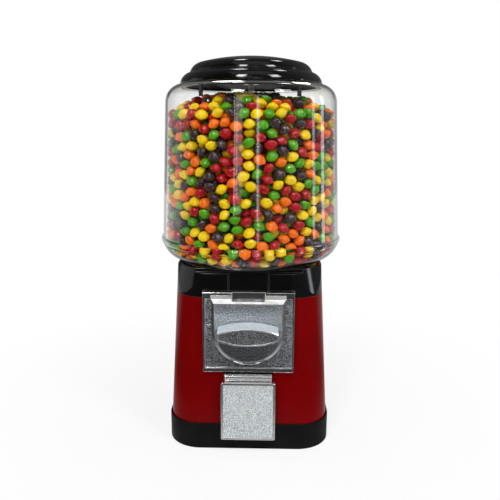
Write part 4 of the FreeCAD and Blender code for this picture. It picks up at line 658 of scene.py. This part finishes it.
# Candy heap
def wall_depth(points):
    """Depth of each point inside the globe, and the direction out through the nearest wall."""
    radius = np.hypot(points[:, 0], points[:, 1])
    height = points[:, 2]
    run = np.array(WALL_HIGH) - np.array(WALL_LOW)
    out = np.array((run[1], -run[0])) / np.hypot(*run)
    depth = (WALL_LOW[0] - radius) * out[0] + (WALL_LOW[1] - height) * out[1]
    across = np.full(len(points), out[0])
    along = np.full(len(points), out[1])
    side = radius - BOWL_CENTRE[0]
    down = height - BOWL_CENTRE[1]
    reach = np.maximum(np.hypot(side, down), TINY)
    bowl = (side > 0) & (down < 0) & (BOWL_ROUND - reach < depth)
    depth = np.where(bowl, BOWL_ROUND - reach, depth)
    across = np.where(bowl, side / reach, across)
    along = np.where(bowl, down / reach, along)
    floor = (side <= 0) & (height - BOWL_FLOOR < depth)
    depth = np.where(floor, height - BOWL_FLOOR, depth)
    across = np.where(floor, 0.0, across)
    along = np.where(floor, -1.0, along)
    round_x = points[:, 0] / np.maximum(radius, TINY)
    round_y = points[:, 1] / np.maximum(radius, TINY)
    return depth, np.stack((across * round_x, across * round_y, along), axis=1)


def mound_height(share):
    """Height of the heap's top, where share is the square of the share of its edge's radius."""
    return MOUND_LOW + MOUND_RISE * (1 - share ** MOUND_FLATNESS)


def mound_depth(points):
    """Depth of each point below the heap's mounded top."""
    share = (points[:, 0] ** 2 + points[:, 1] ** 2) / MOUND_EDGE ** 2
    return mound_height(share) - points[:, 2]


def heap_start(draw):
    """Random places for the candies that show: near the globe's wall and near the top."""
    low = np.array((-WALL_LOW[0], -WALL_LOW[0], BOWL_FLOOR))
    high = np.array((WALL_LOW[0], WALL_LOW[0], MOUND_LOW + MOUND_RISE))
    trials = draw.uniform(low, high, (CANDY_TRIALS, 3))
    depth = np.minimum(wall_depth(trials)[0], mound_depth(trials))
    inside = (depth > 0) & (depth < CANDY_DEPTH)
    room = np.prod(high - low) * inside.mean()
    one = math.pi / 6 * CANDY_WIDTH ** 2 * CANDY_THICK
    count = int(CANDY_DENSITY * room / one)
    return trials[inside][:count]


def unit(vectors):
    return vectors / np.linalg.norm(vectors, axis=1, keepdims=True)


def candy_facings(draw, points):
    """Directions of the candies' short axes: mostly upright, and leaning to a wall that is close."""
    facings = unit(draw.normal(size=points.shape))
    facings[:, 2] += np.sign(facings[:, 2]) * CANDY_SETTLE
    facings = unit(facings)
    depth, out = wall_depth(points)
    toward = np.sign(np.sum(facings * out, axis=1, keepdims=True)) * out
    close = np.clip(1 - depth / CANDY_WIDTH, 0, 1)[:, None]
    return unit(facings + toward * close * CANDY_WALL_LEAN)


def reach_along(facings, sizes, direction):
    """How far a lens-shaped candy reaches from its middle along a direction."""
    lean = np.sum(facings * direction, axis=1) ** 2
    wide = (CANDY_WIDTH / 2) ** 2
    thick = (CANDY_THICK / 2) ** 2
    return sizes * np.sqrt(wide * (1 - lean) + thick * lean)


def neighbours(points):
    """Pairs of candies near enough to touch."""
    tree = KDTree(len(points))
    for index, point in enumerate(points):
        tree.insert(point, index)
    tree.balance()
    pairs = []
    for index, point in enumerate(points):
        for _, other, _ in tree.find_range(point, NEIGHBOUR_REACH):
            if other > index:
                pairs.append((index, other))
    return np.array(pairs).T


def push_apart(points, facings, sizes, pairs):
    """Moves candies that overlap a little way from each other."""
    first, second = pairs
    gap = points[second] - points[first]
    distance = np.maximum(np.linalg.norm(gap, axis=1), TINY)
    line = gap / distance[:, None]
    need = reach_along(facings[first], sizes[first], line)
    need = need + reach_along(facings[second], sizes[second], line)
    push = np.maximum(need * CANDY_TOUCH - distance, 0)[:, None] * line * CANDY_PUSH
    np.add.at(points, second, push)
    np.add.at(points, first, -push)


def keep_in_heap(points, facings, sizes):
    """Moves candies back to where they show, under the top, off the rod and inside the wall."""
    depth, out = wall_depth(points)
    over = np.maximum(np.minimum(mound_depth(points), depth) - CANDY_DEPTH, 0)
    points += out * over[:, None]
    up = np.tile((0.0, 0.0, 1.0), (len(points), 1))
    poke = reach_along(facings, sizes, up) * CANDY_POKE - mound_depth(points)
    points[:, 2] -= np.maximum(poke, 0)
    radius = np.maximum(np.hypot(points[:, 0], points[:, 1]), TINY)
    room = np.maximum((ROD_ROOM + CANDY_THICK / 2 - radius) / radius, 0)
    points[:, :2] += points[:, :2] * room[:, None]
    depth, out = wall_depth(points)
    need = reach_along(facings, sizes, out)
    points -= out * np.maximum(need - depth, 0)[:, None]


def packed_candies():
    """Places, facings, sizes and colours of the candies, pushed apart until they rest together."""
    draw = np.random.default_rng(CANDY_SEED)
    points = heap_start(draw)
    facings = candy_facings(draw, points)
    sizes = 1 + draw.uniform(-CANDY_SIZE_SPREAD, CANDY_SIZE_SPREAD, len(points))
    for step in range(CANDY_ROUNDS):
        if step % NEIGHBOUR_ROUNDS == 0:
            pairs = neighbours(points)
        push_apart(points, facings, sizes, pairs)
        keep_in_heap(points, facings, sizes)
    shares = [part for _, part in CANDY_COLOURS.values()]
    colours = draw.choice(len(shares), len(points), p=shares)
    return points, facings, sizes, colours


def candy_points():
    """Mesh of loose points that carries each candy's facing, size and colour."""
    points, facings, sizes, colours = packed_candies()
    mesh = bpy.data.meshes.new("candy_points")
    mesh.from_pydata(points.tolist(), [], [])
    columns = (("facing", "FLOAT_VECTOR", "vector", facings), ("size", "FLOAT", "value", sizes),
               ("colour", "INT", "value", colours))
    for name, kind, entry, values in columns:
        attribute = mesh.attributes.new(name, kind, "POINT")
        attribute.data.foreach_set(entry, np.ravel(values).tolist())
    return mesh


def lens_shape(tree, given):
    """Candy made from a ball: round from above, and pointed at its rim from the side."""
    sphere = {"Segments": CANDY_SEGMENTS, "Rings": CANDY_RINGS, "Radius": 1.0}
    ball = tree.add("GeometryNodeMeshUVSphere", None, sphere)
    spot = tree.add("ShaderNodeSeparateXYZ", None, {0: tree.add("GeometryNodeInputPosition")})
    x, y, z = (spot.out(axis) for axis in "XYZ")
    dome = (1 - x * x - y * y).largest(0.0) ** CANDY_RIM_POWER
    wide = given.out("Width") * 0.5
    lens = {"X": x * wide, "Y": y * wide, "Z": dome * z.sign() * given.out("Thickness") * 0.5}
    place = tree.add("ShaderNodeCombineXYZ", None, lens)
    shaped = tree.add("GeometryNodeSetPosition", None, {"Geometry": ball, "Position": place})
    return tree.add("GeometryNodeSetShadeSmooth", None, {0: shaped})


def candy_tree():
    """Node tree that sets a lens-shaped candy on each point of one colour."""
    group = bpy.data.node_groups.new("candy_heap", "GeometryNodeTree")
    kinds = {"Geometry": "Geometry", "Width": "Float", "Thickness": "Float", "Colour": "Int",
             "Finish": "Material"}
    sockets = {}
    for name, kind in kinds.items():
        made = group.interface.new_socket(name=name, in_out="INPUT", socket_type="NodeSocket" + kind)
        sockets[name] = made.identifier
    group.interface.new_socket(name="Geometry", in_out="OUTPUT", socket_type="NodeSocketGeometry")
    tree = Tree(group)
    given = tree.add("NodeGroupInput")
    colour = tree.add("GeometryNodeInputNamedAttribute", {"data_type": "INT"}, {"Name": "colour"})
    facing = tree.add("GeometryNodeInputNamedAttribute", {"data_type": "FLOAT_VECTOR"}, {"Name": "facing"})
    size = tree.add("GeometryNodeInputNamedAttribute", {"data_type": "FLOAT"}, {"Name": "size"})
    chosen = tree.add("FunctionNodeCompare", {"data_type": "INT", "operation": "EQUAL"},
                      {COMPARE_FIRST: colour, COMPARE_SECOND: given.out("Colour")})
    turn = tree.add("FunctionNodeAlignRotationToVector", {"axis": "Z"}, {"Vector": facing})
    dots = tree.add("GeometryNodeMeshToPoints", None, {"Mesh": given.out("Geometry")})
    placed = tree.add("GeometryNodeInstanceOnPoints", None,
                      {"Points": dots, "Selection": chosen, "Instance": lens_shape(tree, given),
                       "Rotation": turn, "Scale": size})
    real = tree.add("GeometryNodeRealizeInstances", None, {0: placed})
    painted = tree.add("GeometryNodeSetMaterial", None,
                       {"Geometry": real, "Material": given.out("Finish")})
    tree.add("NodeGroupOutput", None, {0: painted})
    return group, sockets


def join_heap(piece):
    """Makes a piece part of the candy that stands in for the plain solid."""
    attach(piece, "cabinet")
    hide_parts("candy_fill")


def candy_pieces():
    """One mesh of candies for each colour."""
    group, sockets = candy_tree()
    mesh = candy_points()
    for index, (name, (colour, _)) in enumerate(CANDY_COLOURS.items()):
        piece = new_object("candies_" + name, mesh)
        modifier = piece.modifiers.new("candy_heap", "NODES")
        modifier.node_group = group
        given = {"Width": CANDY_WIDTH, "Thickness": CANDY_THICK, "Colour": index,
                 "Finish": sugar_shell(name, colour)}
        for label, value in given.items():
            modifier[sockets[label]] = value
        graph = bpy.context.evaluated_depsgraph_get()
        made = bpy.data.meshes.new_from_object(piece.evaluated_get(graph))
        piece.modifiers.remove(modifier)
        piece.data = made
        join_heap(piece)


def candy_core():
    """Closed lump behind the candies, so that no light comes through the heap."""
    low = BOWL_FLOOR + CORE_INSET
    edge = MOUND_EDGE - CORE_INSET
    profile = [
        (0.0, low),
        (BOWL_CENTRE[0] - CORE_INSET, low),
        (WALL_LOW[0] - CORE_INSET, WALL_LOW[1] + CORE_INSET / 2),
        (edge, mound_height(1.0) - CORE_INSET),
        (edge * CORE_KNEE, mound_height(CORE_KNEE ** 2) - CORE_INSET),
        (0.0, mound_height(0.0) - CORE_INSET),
    ]
    verts = []
    for radius, height in profile[1:-1]:
        for step in range(CORE_STEPS):
            angle = 2 * math.pi * step / CORE_STEPS
            verts.append((radius * math.cos(angle), radius * math.sin(angle), height))
    bottom = len(verts)
    top = bottom + 1
    verts += [(0, 0, profile[0][1]), (0, 0, profile[-1][1])]
    last = bottom - CORE_STEPS
    faces = []
    for step in range(CORE_STEPS):
        after = (step + 1) % CORE_STEPS
        faces.append((bottom, after, step))
        for here in range(0, last, CORE_STEPS):
            above = here + CORE_STEPS
            faces.append((here + step, here + after, above + after, above + step))
        faces.append((last + step, last + after, top))
    mesh = bpy.data.meshes.new("candy_core")
    mesh.from_pydata(verts, [], faces)
    mesh.materials.append(mixed_candy())
    join_heap(new_object("candy_core", mesh))


# Stage, light and camera
def floor_finish():
    """White where it is seen, matt in other light, and in a gloss dark in front and pale behind."""
    f = Finish("pale_floor")
    path = f.add("ShaderNodeLightPath")
    seen = path.out("Is Camera Ray").largest(path.out("Is Transmission Ray"))
    away = f.add("ShaderNodeVectorMath", {"operation": "LENGTH"}, {0: f.place()}).out("Value")
    fade = away.ramp(*FLOOR_SHADE_SPAN, FLOOR_SHADE, 1.0)
    matt = f.add("ShaderNodeBsdfDiffuse", None, {"Color": FLOOR_TONE})
    front = away.ramp(FLOOR_GLEAM_NEAR, FLOOR_GLEAM_FAR) * f.axis("Y").fall(0.0, FLOOR_GLEAM_FAR)
    front = front * f.axis("X").ramp(FLOOR_GLEAM_NEAR, FLOOR_GLEAM_FAR, 1.0, 1 - FLOOR_GLEAM_RIGHT)
    gleam = f.either(front, f.shine(BACKDROP_GLOSS), f.shine(FLOOR_GLEAM))
    plain = f.either(seen * fade, matt, f.shine(1.0))
    return f.done(f.either(mirrored(path), plain, gleam))


def pale_floor():
    turns = ((-1, -1), (1, -1), (1, 1), (-1, 1))
    corners = [(x * FLOOR_HALF, y * FLOOR_HALF, 0) for x, y in turns]
    mesh = bpy.data.meshes.new("floor")
    mesh.from_pydata(corners, [], [(0, 1, 2, 3)])
    mesh.materials.append(floor_finish())
    new_object("floor", mesh)


def studio_world():
    """White where it is seen, dimmer in a gloss and through the globe's sides."""
    world = bpy.data.worlds.new("studio")
    scene.world = world
    world.use_nodes = True
    tree = Tree(world.node_tree)
    tree.nodes.clear()
    path = tree.add("ShaderNodeLightPath")
    camera = path.out("Is Camera Ray")
    through = path.out("Is Transmission Ray")
    gloss = path.out("Is Glossy Ray")
    spot = tree.add("ShaderNodeTexCoord").out("Generated")
    direction = tree.add("ShaderNodeSeparateXYZ", None, {0: spot})
    x, y, z = (direction.out(axis) for axis in "XYZ")
    white = camera.largest(y.size().ramp(*ROOM_BENT_SPAN, ROOM_BENT, 1.0) * through)
    room = y.ramp(*ROOM_DEPTH_SPAN, ROOM_FRONT, ROOM_BACK) + x.ramp(*ROOM_SIDE_SPAN, 0.0, ROOM_RIGHT)
    backdrop = y.ramp(*BACKDROP_SPAN) * z.ramp(*BACKDROP_TOP_SPAN, BACKDROP_GLOSS, 0.0)
    unseen = gloss * room.largest(backdrop) + (1 - gloss) * ROOM_LIGHT
    level = white + (1 - camera.largest(through)) * unseen
    shine = tree.add("ShaderNodeBackground", None, {"Color": grey(1.0), "Strength": level})
    tree.add("ShaderNodeOutputWorld", None, {"Surface": shine})


def studio_lights():
    """Area lamps of an even brightness, turned to the object."""
    for name, (place, width, height, level, colour) in LAMPS.items():
        lamp = bpy.data.lights.new(name, "AREA")
        lamp.shape = "RECTANGLE"
        lamp.size = width
        lamp.size_y = height
        lamp.energy = level * math.pi * width * height
        lamp.color = colour
        held = new_object(name, lamp)
        held.location = place
        aim = Vector(LAMP_TARGET) - Vector(place)
        held.rotation_euler = aim.to_track_quat("-Z", "Y").to_euler()


def photo_camera():
    lens = bpy.data.cameras.new("photo_camera")
    lens.lens = CAMERA_LENS
    lens.sensor_width = CAMERA_SENSOR
    held = new_object("photo_camera", lens)
    held.location = CAMERA_PLACE
    aim = Euler((math.radians(90 - CAMERA_PITCH_DOWN), 0, math.radians(CAMERA_YAW))).to_matrix()
    roll = Euler((0, 0, math.radians(CAMERA_ROLL))).to_matrix()
    held.rotation_euler = (aim @ roll).to_euler()
    scene.camera = held


photo_camera()
studio_world()
studio_lights()
pale_floor()
finish_nodes()
candy_core()
candy_pieces()
